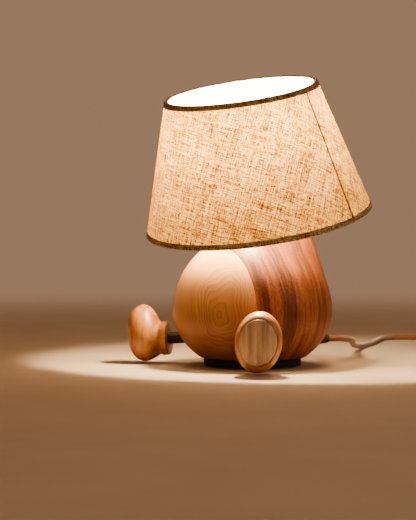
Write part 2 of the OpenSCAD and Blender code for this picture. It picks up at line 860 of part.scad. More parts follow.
// Flat two-pin plug, built along +X from the place where the cable enters it.
module at_plug() {
    translate([plug_at.x, plug_at.y, rest_z + 3.4]) rotate([0, 0, plug_turn]) children();
}

module plug_body() {
    color("#17130f") at_plug() difference() {
        hull() {
            translate([14, -7, -6.7]) cube([4, 14, 13.4]);
            translate([30, -17.5, -6.85]) cube([16, 35, 13.7]);
        }
        for (y = [-pin_y, pin_y])
            translate([40, y, 0]) rotate([0, 90, 0]) cylinder(r = pin_d / 2, h = 10, $fn = 24);
    }
    color("#17130f") at_plug() difference() {
        rotate([0, 90, 0]) cylinder(r1 = cord_d / 2 + 0.8, r2 = 6, h = 14.5, $fn = 32);
        translate([-1, 0, 0]) rotate([0, 90, 0]) cylinder(r = cord_d / 2, h = 6, $fn = 32);
    }
}

module plug_pins() {
    color("silver") at_plug() for (y = [-pin_y, pin_y])
        translate([40.2, y, 0]) rotate([0, 90, 0]) cylinder(r = pin_d / 2 - 0.02, h = 24.5, $fn = 24);
}

belly_front();
body_back();
seam_dowels();
base_disc();
felt_pad();
base_screws();
leg_left();
leg_right();
foot_left();
foot_right();
sole_left();
sole_right();
foot_washers();
foot_screws();
neck_tube();
tube_washer();
tube_nut();
neck_plate();
knuckle_fork();
knuckle_tongue();
knuckle_bolt();
knuckle_nut();
holder_cap();
holder_skirt();
holder_core();
holder_thread();
holder_contact();
ring_lower();
ring_upper();
bulb_cap();
bulb_glass();
bulb_stem();
bulb_filaments();
shade_carrier();
rim_wire_lower();
rim_wire_upper();
shade_liner();
shade_linen();
hem_lower();
hem_upper();
terminal_block();
lamp_wires();
cord_gland();
cord_clamp();
clamp_screws();
cord_lead();
switch_base();
switch_cover();
switch_rocker();
cord_link();
cord_coil();
coil_tie();
cord_tail();
plug_body();
plug_pins();
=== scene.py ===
import math

import bmesh
import bpy
import numpy as np
from mathutils import Matrix, Vector


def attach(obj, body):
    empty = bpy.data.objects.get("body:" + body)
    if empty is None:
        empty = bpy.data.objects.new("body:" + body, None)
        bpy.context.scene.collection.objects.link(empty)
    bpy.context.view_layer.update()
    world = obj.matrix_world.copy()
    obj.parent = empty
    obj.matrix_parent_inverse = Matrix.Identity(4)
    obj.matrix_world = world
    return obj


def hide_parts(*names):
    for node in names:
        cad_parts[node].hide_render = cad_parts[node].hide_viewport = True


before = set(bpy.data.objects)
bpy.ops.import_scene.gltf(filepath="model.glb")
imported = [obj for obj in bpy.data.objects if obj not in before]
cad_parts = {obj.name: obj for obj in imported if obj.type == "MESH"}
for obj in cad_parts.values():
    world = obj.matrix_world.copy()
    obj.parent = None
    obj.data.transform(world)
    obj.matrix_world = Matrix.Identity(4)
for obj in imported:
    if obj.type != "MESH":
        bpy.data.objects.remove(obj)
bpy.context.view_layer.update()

# ---------------------------------------------------------------- the view
# A long lens at about table height looks at the lamp's left front, from a metre and a half away.
# The lamp stands a little right of the middle of the frame, with its cable leaving to the right.
view_turn = math.radians(54)
view_dip = math.radians(0.56)
view_lens = 103.85
view_away = 1.5
view_left = 0.0445
view_height = 0.1207
view_right = Vector((math.cos(view_turn), math.sin(view_turn), 0))
view_back = Vector((math.sin(view_turn), -math.cos(view_turn), 0))
camera = bpy.data.objects.new("camera", bpy.data.cameras.new("camera"))
camera.data.lens = view_lens
camera.location = view_back * view_away - view_right * view_left + Vector((0, 0, view_height))
camera.rotation_euler = (math.pi / 2 - view_dip, 0, view_turn)
bpy.context.scene.collection.objects.link(camera)
bpy.context.scene.camera = camera

# ---------------------------------------------------------------- the cable
# A round two-core flex in a brown braided cotton sleeve, 6.8 mm thick and 1.84 m long.
# It leaves the strain relief, comes down to the table, passes an in-line switch and ends in a plug.
# What is not in use is wound into one neat coil, three layers high inside and two outside.
cable_d = 0.0068
cable_rest = 3.4  # height of the cable's middle where it lies on the table, in mm like its places
cable_inlet = 6.0  # height of the switch's two inlets
switch_middle = (-111, 377, cable_inlet)
cable_lead = [
    (0, 62.5, 24), (0, 80, 24), (0, 98, 24), (-1, 114, 23.5), (-7, 132, 22), (-20, 150, 19.5),
    (-40, 168, 16), (-64, 190, 12), (-88, 214, 8), (-112, 242, 5), (-136, 272, cable_rest),
    (-160, 304, cable_rest), (-184, 334, cable_rest), (-208, 360, cable_rest),
    (-222.2, 384, cable_rest), (-222.4, 408, cable_rest), (-206, 424.4, cable_rest),
    (-182, 424, cable_rest + 0.6), (-158, 412, cable_rest + 2), (-136, 396, cable_inlet),
]
cable_link = [
    (-86, 358, cable_inlet), (-76, 350, cable_rest + 1), (-67, 340, cable_rest),
    (-56, 324, cable_rest + 0.5),
]
cable_tail = [
    (-2, 360, cable_rest + 0.4), (-18, 367, cable_rest + 1.4), (-32, 376, cable_rest + 3.4),
]
coil_middle = (-7, 314)
coil_inner = 35.6  # radius of the inner column
coil_outer = 42.4
coil_floor = 4.3
coil_layer = 6.75
coil_from = 191  # where the winding starts, in degrees round the coil
coil_turned = 1670  # how far it goes on from there
coil_step = 10
start_inside = 0.6  # the first turn starts this much inside the outer column
start_drift = (0, 50)
climbs = ((305, 380), (665, 740))  # the inner column climbs to its second and its third layer
roll_over = (920, 1018)  # the cable rolls from the inner column's top to the outer column
drop = (1308, 1375)  # the outer column goes down a layer
crossed_from = 1000  # only outer turns come after this
cross_up, cross_down = (-62, -10), (55, 107)  # the outer turns hump over the cable coming in


def ease(x, start, end):
    """0 before start, 1 after end, and a smooth rise between."""
    t = min(max((x - start) / (end - start), 0), 1)
    return t * t * (3 - 2 * t)


def coil_point(turned):
    """Where the cable is after so many degrees of winding: up the inner column, down the outer."""
    ring = coil_outer - start_inside
    ring += (coil_inner - ring) * ease(turned, *start_drift)
    layer = sum(ease(turned, *climb) for climb in climbs)
    over = ease(turned, *roll_over) * math.pi / 2
    if over > 0:
        ring = coil_inner + (coil_outer - coil_inner) * math.sin(over)
        layer = 1 + math.cos(over)
    layer -= ease(turned, *drop)
    if turned > crossed_from:
        crossing = (turned + 180) % 360 - 180
        layer += ease(crossing, *cross_up) * (1 - ease(crossing, *cross_down))
    angle = math.radians(coil_from + turned)
    return (coil_middle[0] + ring * math.cos(angle), coil_middle[1] + ring * math.sin(angle),
            coil_floor + coil_layer * layer)


def smooth_line(points, steps):
    """A smooth line through every point of the list."""
    p = [np.array(q, float) for q in points]
    p = [p[0]] + p + [p[-1]]
    line = []
    for a, b, c, d in zip(p, p[1:], p[2:], p[3:]):
        for k in range(steps):
            t = k / steps
            line.append(0.5 * (2 * b + (c - a) * t + (2 * a - 5 * b + 4 * c - d) * t**2
                               + (3 * b - a - 3 * c + d) * t**3))
    return line + [p[-1]]


def loft(name, rings, ends=(True, True)):
    """A grid of faces over rings of equal length, with a face on each end that is asked for.
    The map runs along the rings in the first number and round each ring in the second."""
    around = len(rings[0])
    mesh = bpy.data.meshes.new(name)
    points = [tuple(p) for ring in rings for p in ring]
    faces = []
    for j in range(len(rings) - 1):
        for i in range(around):
            k = (i + 1) % around
            faces.append((j * around + i, j * around + k, (j + 1) * around + k,
                          (j + 1) * around + i))
    if ends[0]:
        faces.append(tuple(range(around))[::-1])
    if ends[1]:
        faces.append(tuple((len(rings) - 1) * around + i for i in range(around)))
    mesh.from_pydata(points, [], faces)
    travel = [0.0]
    for a, b in zip(rings, rings[1:]):
        travel.append(travel[-1] + np.linalg.norm(np.mean(b, axis=0) - np.mean(a, axis=0)))
    chart = mesh.uv_layers.new(name="map")
    for face in mesh.polygons:
        for corner, loop in zip(face.vertices, face.loop_indices):
            ring, step = divmod(corner, around)
            wrap = step == 0 and any(v % around == around - 1 for v in face.vertices)
            chart.data[loop].uv = (travel[ring], 1.0 if wrap else step / around)
    return mesh


def outward(mesh):
    """Turns every face of a closed mesh to look outwards."""
    work = bmesh.new()
    work.from_mesh(mesh)
    bmesh.ops.recalc_face_normals(work, faces=work.faces)
    work.to_mesh(mesh)
    work.free()


def tube(name, line, radius, sides):
    """A round tube along a line, with frames that do not twist."""
    line = [np.array(p, float) for p in line]
    ways = np.gradient(np.array(line), axis=0)
    ways /= np.linalg.norm(ways, axis=1)[:, None]
    side = np.cross(ways[0], (0, 0, 1.0) if abs(ways[0][2]) < 0.9 else (1.0, 0, 0))
    rings = []
    for p, way in zip(line, ways):
        side = side - way * side.dot(way)
        side /= np.linalg.norm(side)
        up = np.cross(side, way)
        rings.append([p + radius * (math.cos(a) * side + math.sin(a) * up)
                      for a in np.arange(sides) * 2 * math.pi / sides])
    mesh = loft(name, rings)
    outward(mesh)
    return mesh


def dress(obj, finish, crease=35):
    """Gives a piece its finish and smooth shading that breaks only at sharp edges."""
    obj.data.materials.clear()
    obj.data.materials.append(finish)
    for face in obj.data.polygons:
        face.use_smooth = True
    obj.data.set_sharp_from_angle(angle=math.radians(crease))
    return obj


def piece(name, mesh, finish, body, nodes=(), crease=35):
    """Puts a new piece on its body, in place of the plain solids that it stands for."""
    obj = bpy.data.objects.new(name, mesh)
    bpy.context.scene.collection.objects.link(obj)
    dress(obj, finish, crease)
    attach(obj, body)
    if nodes:
        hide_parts(*nodes)
    return obj


def finish_named(name, rough, **plain):
    """A new material, its node tree and its shader, with plain values on the shader's sockets."""
    made = bpy.data.materials.new(name)
    made.use_nodes = True
    shader = made.node_tree.nodes["Principled BSDF"]
    shader.inputs["Roughness"].default_value = rough
    for socket, value in plain.items():
        shader.inputs[socket.replace("_", " ")].default_value = value
    return made, made.node_tree, shader


def put(tree, kind, feeds, **settings):
    """A node with its settings, its plain values and its links."""
    node = tree.nodes.new("ShaderNode" + kind)
    for key, value in settings.items():
        setattr(node, key, value)
    for socket, value in feeds.items():
        if isinstance(value, bpy.types.NodeSocket):
            tree.links.new(value, node.inputs[socket])
        else:
            node.inputs[socket].default_value = value
    return node


def calc(tree, operation, a, b=0.0, c=0.0):
    """One sum on one, two or three values."""
    return put(tree, "Math", {0: a, 1: b, 2: c}, operation=operation).outputs[0]


def colours(tree, value, *stops):
    """A ramp of colours over a value."""
    ramp = put(tree, "ValToRGB", {0: value})
    marks = ramp.color_ramp.elements
    while len(marks) < len(stops):
        marks.new(1.0)
    for mark, (at, colour) in zip(marks, stops):
        mark.position = at
        mark.color = (*colour, 1)
    return ramp.outputs[0]


def blend_of(tree, share, a, b, kind="MIX"):
    """A share of colour b laid over colour a, each of them a socket or a plain colour."""
    node = put(tree, "Mix", {0: share}, data_type="RGBA", blend_type=kind)
    for socket, value in ((node.inputs[6], a), (node.inputs[7], b)):
        if isinstance(value, bpy.types.NodeSocket):
            tree.links.new(value, socket)
        else:
            socket.default_value = (*value, 1)
    return node.outputs[2]


def at(tree, scale=(1, 1, 1), turn=(0, 0, 0)):
    """The place on the piece in metres, stretched and turned."""
    where = tree.nodes.new("ShaderNodeTexCoord").outputs["Object"]
    return put(tree, "Mapping", {"Vector": where, "Scale": scale, "Rotation": turn}).outputs[0]


def noise(tree, vector, scale, detail=3.0, rough=0.5):
    """Soft random cloud, with finer and finer clouds in it."""
    return put(tree, "TexNoise", {"Vector": vector, "Scale": scale, "Detail": detail,
                                  "Roughness": rough}).outputs["Fac"]


def relief(tree, shader, height, strength, depth):
    """Raises the skin where height is high, depth metres at most."""
    made = put(tree, "Bump", {"Height": height, "Strength": strength, "Distance": depth})
    tree.links.new(made.outputs[0], shader.inputs["Normal"])


# Braid: two sets of crossing yarns in two browns, with painted shade in the gaps where they dive and
# a painted highlight on their crowns.
braid_pitch = 0.0085  # how far the yarns take to go once round
braid_round = 7.0  # pairs of yarns round the sleeve
braid_painted_gap_shade, braid_yarn, braid_painted_crown_light = (0.05, 0.018, 0.008), (0.21, 0.085, 0.035), (0.36, 0.17, 0.075)
braid_second = (0.42, 0.23, 0.11)
cotton_braid, tree, shader = finish_named("brown_cotton_braid", 0.85, Sheen_Weight=0.5,
                                          Sheen_Roughness=0.45)
chart = put(tree, "SeparateXYZ", {0: tree.nodes.new("ShaderNodeTexCoord").outputs["UV"]})
along = calc(tree, "DIVIDE", chart.outputs[0], braid_pitch)
round_it = calc(tree, "MULTIPLY", chart.outputs[1], braid_round)
strands = []
for sign in (1.0, -1.0):
    phase = calc(tree, "MULTIPLY_ADD", along, sign * 2.0, round_it)
    strands.append(calc(tree, "PINGPONG", phase, 0.5))
top_yarn = calc(tree, "MULTIPLY", calc(tree, "MAXIMUM", *strands), 2.0)
under_yarn = calc(tree, "MULTIPLY", calc(tree, "MINIMUM", *strands), 2.0)
fuzz = noise(tree, at(tree), 2600, 2)
# Painted shade and highlight: each yarn is coloured darker down in its gaps and lighter on its crown.
tone = colours(tree, calc(tree, "MULTIPLY_ADD", fuzz, 0.35, calc(tree, "MULTIPLY", top_yarn, 0.65)),
               (0.2, braid_painted_gap_shade), (0.6, braid_yarn), (0.95, braid_painted_crown_light))
tone = blend_of(tree, calc(tree, "MULTIPLY", under_yarn, 0.35), tone, braid_second)
tree.links.new(tone, shader.inputs["Base Color"])
relief(tree, shader, calc(tree, "ADD", top_yarn, calc(tree, "MULTIPLY", fuzz, 0.3)), 0.6, 0.0005)

cable_line = smooth_line(cable_lead, 4)
cable_line += smooth_line([cable_lead[-1], switch_middle, cable_link[0]], 3)[1:-1]
cable_line += smooth_line(cable_link + [coil_point(0)], 4)[:-1]
cable_line += [coil_point(turned) for turned in range(0, coil_turned, coil_step)]
cable_line += smooth_line([coil_point(coil_turned)] + cable_tail, 4)
cable_line = [Vector(p) / 1000 for p in cable_line]
cable = piece("cable", tube("cable", cable_line, cable_d / 2, 16), cotton_braid, "base",
              ("cord_lead", "cord_link", "cord_coil", "cord_tail"))

# ---------------------------------------------------------------- the coil's strap
# A short band of black hook-and-loop tape, closed round the coil's turns where they lie closest.
# It is cut flat from a roll and pressed shut, so it keeps the turns in two neat columns.


def skin_tone(tree, shader, value, *stops):
    """Colours a shader by a ramp over a value."""
    tree.links.new(colours(tree, value, *stops), shader.inputs["Base Color"])


strap_tape, tree, shader = finish_named("strap_tape", 0.9, Sheen_Weight=0.4)
loops = noise(tree, at(tree), 1900, 3, 0.6)
skin_tone(tree, shader, loops, (0.35, (0.008, 0.008, 0.009)), (0.7, (0.045, 0.042, 0.04)))
relief(tree, shader, loops, 0.7, 0.0006)
strap_angles = (-38, -22)
strap_steps = 9
strap_thick = 0.7
strap_outline = [(31.6, 1.0), (31.6, 20.6), (32.6, 21.6), (38.4, 21.8), (40.6, 20.6), (46.0, 14.6),
                 (46.4, 13.4), (46.4, 1.6), (45.2, 0.3), (32.8, 0.3)]
strap_waist, strap_foot = 39, 8  # the radius and height where the tape's thickness changes sides
strap_inside = [(r + (strap_thick if r < strap_waist else -strap_thick),
                 z + (strap_thick if z < strap_foot else -strap_thick)) for r, z in strap_outline]
strap_points = []
for angle in np.radians(np.linspace(*strap_angles, strap_steps)):
    way = Vector((math.cos(angle), math.sin(angle), 0))
    strap_points += [(Vector((*coil_middle, z)) + way * r) / 1000
                     for r, z in strap_outline + strap_inside]
corners = len(strap_outline)
strap_faces = []
for i in range(corners):
    k = (i + 1) % corners
    for start in range(0, 2 * corners * (strap_steps - 1), 2 * corners):
        for skin in (start, start + corners):
            after = skin + 2 * corners
            strap_faces.append((skin + i, skin + k, after + k, after + i))
    for end in (0, 2 * corners * (strap_steps - 1)):
        strap_faces.append((end + i, end + k, end + corners + k, end + corners + i))
strap_mesh = bpy.data.meshes.new("coil_strap")
strap_mesh.from_pydata(strap_points, [], strap_faces)
outward(strap_mesh)
strap = piece("coil_strap", strap_mesh, strap_tape, "base", ("coil_tie",))

# ---------------------------------------------------------------- the switch
# An in-line rocker switch, moulded in dark brown plastic with a fine orange-peel skin.
# It is two shells that close round the cable, and the rocker tips on two pins between them.


def skin_gloss(tree, shader, value, *stops):
    """Varies a shader's roughness by a ramp over a value. Each stop is (place, roughness)."""
    greys = [(place, (rough,) * 3) for place, rough in stops]
    tree.links.new(colours(tree, value, *greys), shader.inputs["Roughness"])


def keep(finish, *nodes):
    """Gives a finish to solids that already have their true shape."""
    for name in nodes:
        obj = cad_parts[name]
        for place in obj.material_slots:
            place.material = finish


moulded, tree, shader = finish_named("dark_moulding", 0.42, Coat_Weight=0.15, Coat_Roughness=0.3)
orange_peel = noise(tree, at(tree), 900, 4, 0.55)
wear = noise(tree, at(tree), 60, 3)
skin_tone(tree, shader, wear, (0.3, (0.012, 0.009, 0.007)), (0.75, (0.03, 0.022, 0.017)))
skin_gloss(tree, shader, orange_peel, (0.3, 0.34), (0.8, 0.55))
relief(tree, shader, orange_peel, 0.25, 0.0002)
keep(moulded, "switch_base", "switch_cover", "switch_rocker")

# ---------------------------------------------------------------- the plug
# A flat two-pin plug, moulded on to the cable's end in the same dark brown plastic, with a ribbed
# sleeve that bends with the cable. Its pins are turned brass, nickel plated.
plug_start = Vector((-32, 376, 6.8)) / 1000
plug_turn = math.radians(145)
plug_frame = Matrix.Translation(plug_start) @ Matrix.Rotation(plug_turn, 4, "Z")
plug_sides = 40
plug_square = 0.75  # 1 is an oval section, and less is squarer
plug_sections = [  # along the plug, half width, half height
    (0, 4.6, 4.4), (1, 5.0, 4.7), (6, 5.0, 4.7), (7, 5.6, 5.0), (12, 6.4, 5.4), (13, 6.0, 5.2),
    (15, 6.0, 5.2), (16, 6.9, 5.7), (18, 7.0, 5.8), (19, 6.6, 5.5), (21, 6.6, 5.5), (22, 7.6, 6.0),
    (25, 8.4, 6.2), (30, 10.8, 6.5), (36, 13.0, 6.6), (44, 13.4, 6.6), (45.4, 13.2, 6.4),
    (46, 12.4, 5.7),
]
plug_rings = []
for x, w, h in plug_sections:
    ring = []
    for a in np.arange(plug_sides) * 2 * math.pi / plug_sides:
        c, s = math.cos(a), math.sin(a)
        ring.append(plug_frame @ (Vector((x, w * math.copysign(abs(c) ** plug_square, c),
                                          h * math.copysign(abs(s) ** plug_square, s))) / 1000))
    plug_rings.append(ring)
plug_mesh = loft("plug_moulding", plug_rings)
outward(plug_mesh)
plug = piece("plug_moulding", plug_mesh, moulded, "base", ("plug_body",))

bright_pin, tree, shader = finish_named("nickel", 0.25, Metallic=1.0)
scuff = noise(tree, at(tree, (900, 900, 200)), 1.0, 3)
skin_tone(tree, shader, scuff, (0.3, (0.55, 0.52, 0.47)), (0.7, (0.72, 0.69, 0.64)))
skin_gloss(tree, shader, scuff, (0.3, 0.18), (0.75, 0.38))
keep(bright_pin, "plug_pins")

# ---------------------------------------------------------------- the body's turned form
# A ball of two woods, with a flattened underside and a nape that leans back up to a small flat.
# It is turned whole and sanded, so both woods share one skin, and the flat's edge is rounded.
body_r = 79.5
body_mid = 55.0  # height of the ball's middle
belly_drop = 60.5  # the underside's own radius, as if it went on down to a point
body_floor = 9.0
body_top = 134.0
floor_edge = 1.0  # how far in the underside's edge is broken
top_edge = 1.6  # how much smaller the flat is than the form there
edge_round = 2.6
nape_lean = math.radians(22)
nape_half = math.radians(34)  # half the angle of the nape's cone, which touches the ball all round
nape_way = np.array([0, math.sin(nape_lean), math.cos(nape_lean)])
nape_apex = np.array([0, 0, body_mid]) + nape_way * body_r / math.sin(nape_half)
nape_from = body_r * math.sin(nape_half)
neck_y = 7.5


def body_reach(angle, z):
    """How far the wood reaches from the upright axis, at an angle round it and a height. Below the
    middle that is a flattened ball, and above it the further one of the ball and the nape's cone,
    whose level line outwards gives a square equation a * out**2 + b * out + d = 0."""
    if z < body_mid:
        return body_r * math.sqrt(1 - ((body_mid - z) / belly_drop) ** 2)
    ball = math.sqrt(max(body_r**2 - (z - body_mid) ** 2, 0))
    c, s = math.cos(angle), math.sin(angle)
    spread = 1 / math.cos(nape_half) ** 2
    rise = -nape_apex[1] * nape_way[1] + (z - nape_apex[2]) * nape_way[2]
    a = 1 - (s * nape_way[1]) ** 2 * spread
    b = -2 * s * nape_apex[1] - 2 * spread * s * nape_way[1] * rise
    d = nape_apex[1] ** 2 + (z - nape_apex[2]) ** 2 - spread * rise**2
    inside = b * b - 4 * a * d
    if inside <= 0:
        return ball
    out = (-b + math.sqrt(inside)) / (2 * a)
    if out * s * nape_way[1] + (z - body_mid) * nape_way[2] < nape_from:
        return ball
    return max(ball, out)


body_sides = 144
body_angles = np.arange(body_sides) * 2 * math.pi / body_sides


def body_ring(z, inset=0.0, share=1.0, middle=0.0):
    """A level line round the form, inset by so much, then drawn in to a share of its size."""
    ring = []
    for a in body_angles:
        r = (body_reach(a, z) - inset) * share
        ring.append(Vector((r * math.cos(a), r * math.sin(a) + middle * (1 - share), z)) / 1000)
    return ring


underside_rows, side_rows, round_rows = 36, 64, 5
low_angle = math.asin((body_mid - body_floor) / belly_drop)
body_rings = [body_ring(body_floor, share=share) for share in (0.04, 0.5, 0.94)]
body_rings.append(body_ring(body_floor, floor_edge))
body_rings.append(body_ring(body_floor + floor_edge / 4, floor_edge / 5))
for k in range(1, underside_rows):
    drop_angle = low_angle * (1 - k / underside_rows)
    body_rings.append(body_ring(body_mid - belly_drop * math.sin(drop_angle)))
for z in np.linspace(body_mid, body_top - edge_round, side_rows):
    body_rings.append(body_ring(z))
for k in range(1, round_rows + 1):
    q = k / round_rows * math.pi / 2
    ring = []
    for a in body_angles:
        low = body_reach(a, body_top - edge_round)
        high = body_reach(a, body_top) - top_edge
        r = low + (high - low) * (1 - math.cos(q))
        ring.append(Vector((r * math.cos(a), r * math.sin(a),
                            body_top - edge_round * (1 - math.sin(q)))) / 1000)
    body_rings.append(ring)
for share in (0.7, 0.4, 0.15):
    body_rings.append(body_ring(body_top, top_edge, share, neck_y))
whole = loft("whole_body", body_rings)
outward(whole)

# ---------------------------------------------------------------- the maple belly
# The front cap is pale maple, glued on at a flat seam 45 mm in front of the middle. Its rings are
# cut nearly flat, so they close round a small eye at its fullest point, and painted shade darkens it
# downwards.
seam_y = -0.045
maple_eye = (0.0589, -0.0966, 0.038)
maple_light, maple_dark = (0.66, 0.39, 0.19), (0.27, 0.10, 0.042)
painted_shade_top, painted_shade_foot = 0.112, 0.028  # heights between which painted shade darkens the maple towards its foot
painted_shade_tint, painted_shade_share = (0.38, 0.25, 0.21), 0.95


def stretch(tree, vector, scale):
    """A place stretched by a plain scale on each axis."""
    return put(tree, "VectorMath", {0: vector, 1: scale}, operation="MULTIPLY").outputs[0]


def wood_half(name, clear_front):
    """The part of the turned body on one side of the seam, with the seam's edge just broken."""
    work = bmesh.new()
    work.from_mesh(whole)
    cut = bmesh.ops.bisect_plane(
        work, geom=work.verts[:] + work.edges[:] + work.faces[:], plane_co=(0, seam_y, 0),
        plane_no=(0, 1, 0), clear_outer=not clear_front, clear_inner=clear_front)
    rim = [e for e in cut["geom_cut"] if isinstance(e, bmesh.types.BMEdge)]
    made = bmesh.ops.contextual_create(work, geom=rim)
    bmesh.ops.bevel(work, geom=[e for f in made["faces"] for e in f.edges], offset=0.00035,
                    segments=2, affect="EDGES", profile=0.5)
    bmesh.ops.recalc_face_normals(work, faces=work.faces)
    mesh = bpy.data.meshes.new(name)
    work.to_mesh(mesh)
    work.free()
    return mesh


def between(light, dark, share):
    """A colour at a share of the way from light to dark."""
    return tuple(a * (1 - share) + b * share for a, b in zip(light, dark))


def open_pores(tree, shader, where, along, shut, pores, tone, fibre):
    """Colours a wood, with its pores showing as short dark dashes, and lets them and its fibres be
    felt. along is how many pores a metre holds, and shut how far a pore stays closed."""
    vessel = noise(tree, stretch(tree, where, (1500, 1500, along)), 1.0, 1, 0.4)
    pore = colours(tree, vessel, (0.0, (1, 1, 1)), (shut, (1, 1, 1)), (shut + 0.08, (0, 0, 0)))
    dull = blend_of(tree, pores, (1, 1, 1), pore)
    tree.links.new(blend_of(tree, 1.0, tone, dull, "MULTIPLY"), shader.inputs["Base Color"])
    relief(tree, shader, calc(tree, "MULTIPLY_ADD", pore, 0.6 * pores, fibre), 0.16, 0.0003)


def ringed_wood(name, rough, centre, spread, spacing, light, dark, line, streak, pores, **plain):
    """Ringed wood. centre is on the tree's axis, spread is how much the rings wander, spacing the
    width of a ring and line how sharp the late wood is."""
    made, tree, shader = finish_named(name, rough, **plain)
    where = at(tree)
    slow = put(tree, "TexNoise", {"Vector": stretch(tree, where, (24, 24, 20)), "Scale": 1.0,
                                  "Detail": 2.0}).outputs["Color"]
    wander = put(tree, "VectorMath", {0: slow, 1: (0.5, 0.5, 0.5)}, operation="SUBTRACT").outputs[0]
    moved = put(tree, "VectorMath", {0: wander, 1: (spread,) * 3, 2: where},
                operation="MULTIPLY_ADD").outputs[0]
    off = put(tree, "VectorMath", {0: moved, 1: centre}, operation="SUBTRACT").outputs[0]
    flat = stretch(tree, off, (1, 1, 0.06))
    out = put(tree, "VectorMath", {0: flat}, operation="LENGTH").outputs[1]
    turn = calc(tree, "DIVIDE", out, spacing)
    uneven = noise(tree, put(tree, "CombineXYZ", {0: turn}).outputs[0], 0.55, 2)
    ring = calc(tree, "FRACT", calc(tree, "MULTIPLY_ADD", uneven, 1.6, turn))
    late = calc(tree, "MULTIPLY", calc(tree, "POWER", ring, line), uneven)
    faded = noise(tree, stretch(tree, where, (13, 13, 13)), 1.0, 1)
    late = calc(tree, "MULTIPLY", late, colours(tree, faded, (0.36, (0.15,) * 3), (0.6, (1, 1, 1))))
    fibre = noise(tree, stretch(tree, moved, (950, 950, 26)), 1.0, 4, 0.65)
    blotch = noise(tree, stretch(tree, where, (26, 26, 8)), 1.0, 3)
    value = calc(tree, "MULTIPLY_ADD", calc(tree, "SUBTRACT", fibre, 0.5), streak, late)
    value = calc(tree, "MULTIPLY_ADD", calc(tree, "SUBTRACT", blotch, 0.5), 0.7, value)
    tone = colours(tree, value, (0.0, light), (0.35, between(light, dark, 0.38)), (0.95, dark))
    # Painted shade: the tone is darkened towards the bottom of the cap, between two given heights.
    height = put(tree, "SeparateXYZ", {0: moved}).outputs[2]
    painted_shade_fade = put(tree, "MapRange", {0: height, 1: painted_shade_top, 2: painted_shade_foot},
                interpolation_type="SMOOTHSTEP").outputs[0]
    tone = blend_of(tree, calc(tree, "MULTIPLY", painted_shade_fade, painted_shade_share), tone, painted_shade_tint, "MULTIPLY")
    open_pores(tree, shader, where, 70, 0.64, pores, tone, fibre)
    dry = calc(tree, "MULTIPLY_ADD", late, 0.1, calc(tree, "MULTIPLY_ADD", fibre, 0.2, rough - 0.1))
    tree.links.new(dry, shader.inputs["Roughness"])
    return made


maple = ringed_wood("pale_maple", 0.4, maple_eye, spread=0.026, spacing=0.0026, light=maple_light,
                    dark=maple_dark, line=2.4, streak=0.5, pores=0.05, Coat_Weight=0.08,
                    Coat_Roughness=0.4, Specular_IOR_Level=0.35)
piece("belly_cap", wood_half("belly_cap", False), maple, "base",
      ("belly_front",), crease=30)

# ---------------------------------------------------------------- the walnut body
# The rest of the body is walnut with broad dark bands that run up it, and open pores. The wiring
# chamber, neck hole, leg sockets and cable outlet are bored before the maple is glued on.
walnut_light, walnut_dark = (0.40, 0.145, 0.062), (0.095, 0.025, 0.012)


def drill(obj, radius, start, end, sides=64):
    """Bores a straight hole from start to end, given in millimetres."""
    a, b = Vector(start) / 1000, Vector(end) / 1000
    line = [a, a + (b - a) * 0.5, b]
    bit = bpy.data.objects.new("bit", tube("bit", line, radius / 1000, sides))
    bpy.context.scene.collection.objects.link(bit)
    cut = obj.modifiers.new("hole", "BOOLEAN")
    cut.operation = "DIFFERENCE"
    cut.solver = "EXACT"
    cut.object = bit
    done = bpy.data.meshes.new_from_object(
        obj.evaluated_get(bpy.context.evaluated_depsgraph_get()))
    obj.modifiers.clear()
    old = obj.data
    obj.data = done
    bpy.data.meshes.remove(old)
    bpy.data.objects.remove(bit)


def straight_wood(name, rough, light, dark, turn, bands, pores, **plain):
    """Straight-grained wood with soft stripes. turn sets its grain along Z, and bands are how many
    stripes there are to a metre each way."""
    made, tree, shader = finish_named(name, rough, **plain)
    where = at(tree, turn=turn)
    slow = put(tree, "TexNoise", {"Vector": stretch(tree, where, (20, 20, 9)), "Scale": 1.0,
                                  "Detail": 2.0}).outputs["Color"]
    moved = put(tree, "VectorMath", {0: slow, 1: (0.009, 0.009, 0.0), 2: where},
                operation="MULTIPLY_ADD").outputs[0]
    band = noise(tree, stretch(tree, moved, bands), 1.0, 2, 0.5)
    thin = noise(tree, stretch(tree, moved, tuple(4.5 * b for b in bands[:2]) + (7,)), 1.0, 3, 0.6)
    fibre = noise(tree, stretch(tree, moved, (1300, 1300, 40)), 1.0, 3, 0.65)
    value = calc(tree, "MULTIPLY_ADD", band, 0.72, calc(tree, "MULTIPLY", thin, 0.34))
    value = calc(tree, "MULTIPLY_ADD", calc(tree, "SUBTRACT", fibre, 0.5), 0.30, value)
    tone = colours(tree, value, (0.38, light), (0.53, between(light, dark, 0.5)), (0.66, dark))
    open_pores(tree, shader, where, 85, 0.62, pores, tone, fibre)
    tree.links.new(calc(tree, "MULTIPLY_ADD", fibre, 0.26, rough - 0.13),
                   shader.inputs["Roughness"])
    return made


walnut = straight_wood("striped_walnut", 0.46, walnut_light, walnut_dark, turn=(0, 0, 0),
                       bands=(14, 82, 5), pores=0.6, Coat_Weight=0.05, Coat_Roughness=0.5,
                       Specular_IOR_Level=0.3)
back = piece("back_wood", wood_half("back_wood", True), walnut, "base",
             ("body_back",), crease=30)
chamber_r, chamber_z, chamber_back = 34, 62, 33
seam_past = -46  # 1 mm in front of the seam; every hole starts or ends clear of the wood
drill(back, chamber_r, (0, seam_past, chamber_z), (0, chamber_back, chamber_z))
neck_bore_r = 5.1
drill(back, neck_bore_r, (0, neck_y, chamber_z), (0, neck_y, body_top + 6))
outlet_r, outlet_y, outlet_z = 7.1, 62, 24
drill(back, outlet_r, (0, outlet_y, outlet_z), (0, outlet_y + 40, outlet_z))
leg_root = Vector((0, 16.5, 33.1))  # where both legs' middle lines would meet
leg_d = 12.0
leg_spread = 41.5  # degrees that a leg swings forward from straight sideways
leg_fall = 4
socket_from, socket_to = 60, 160


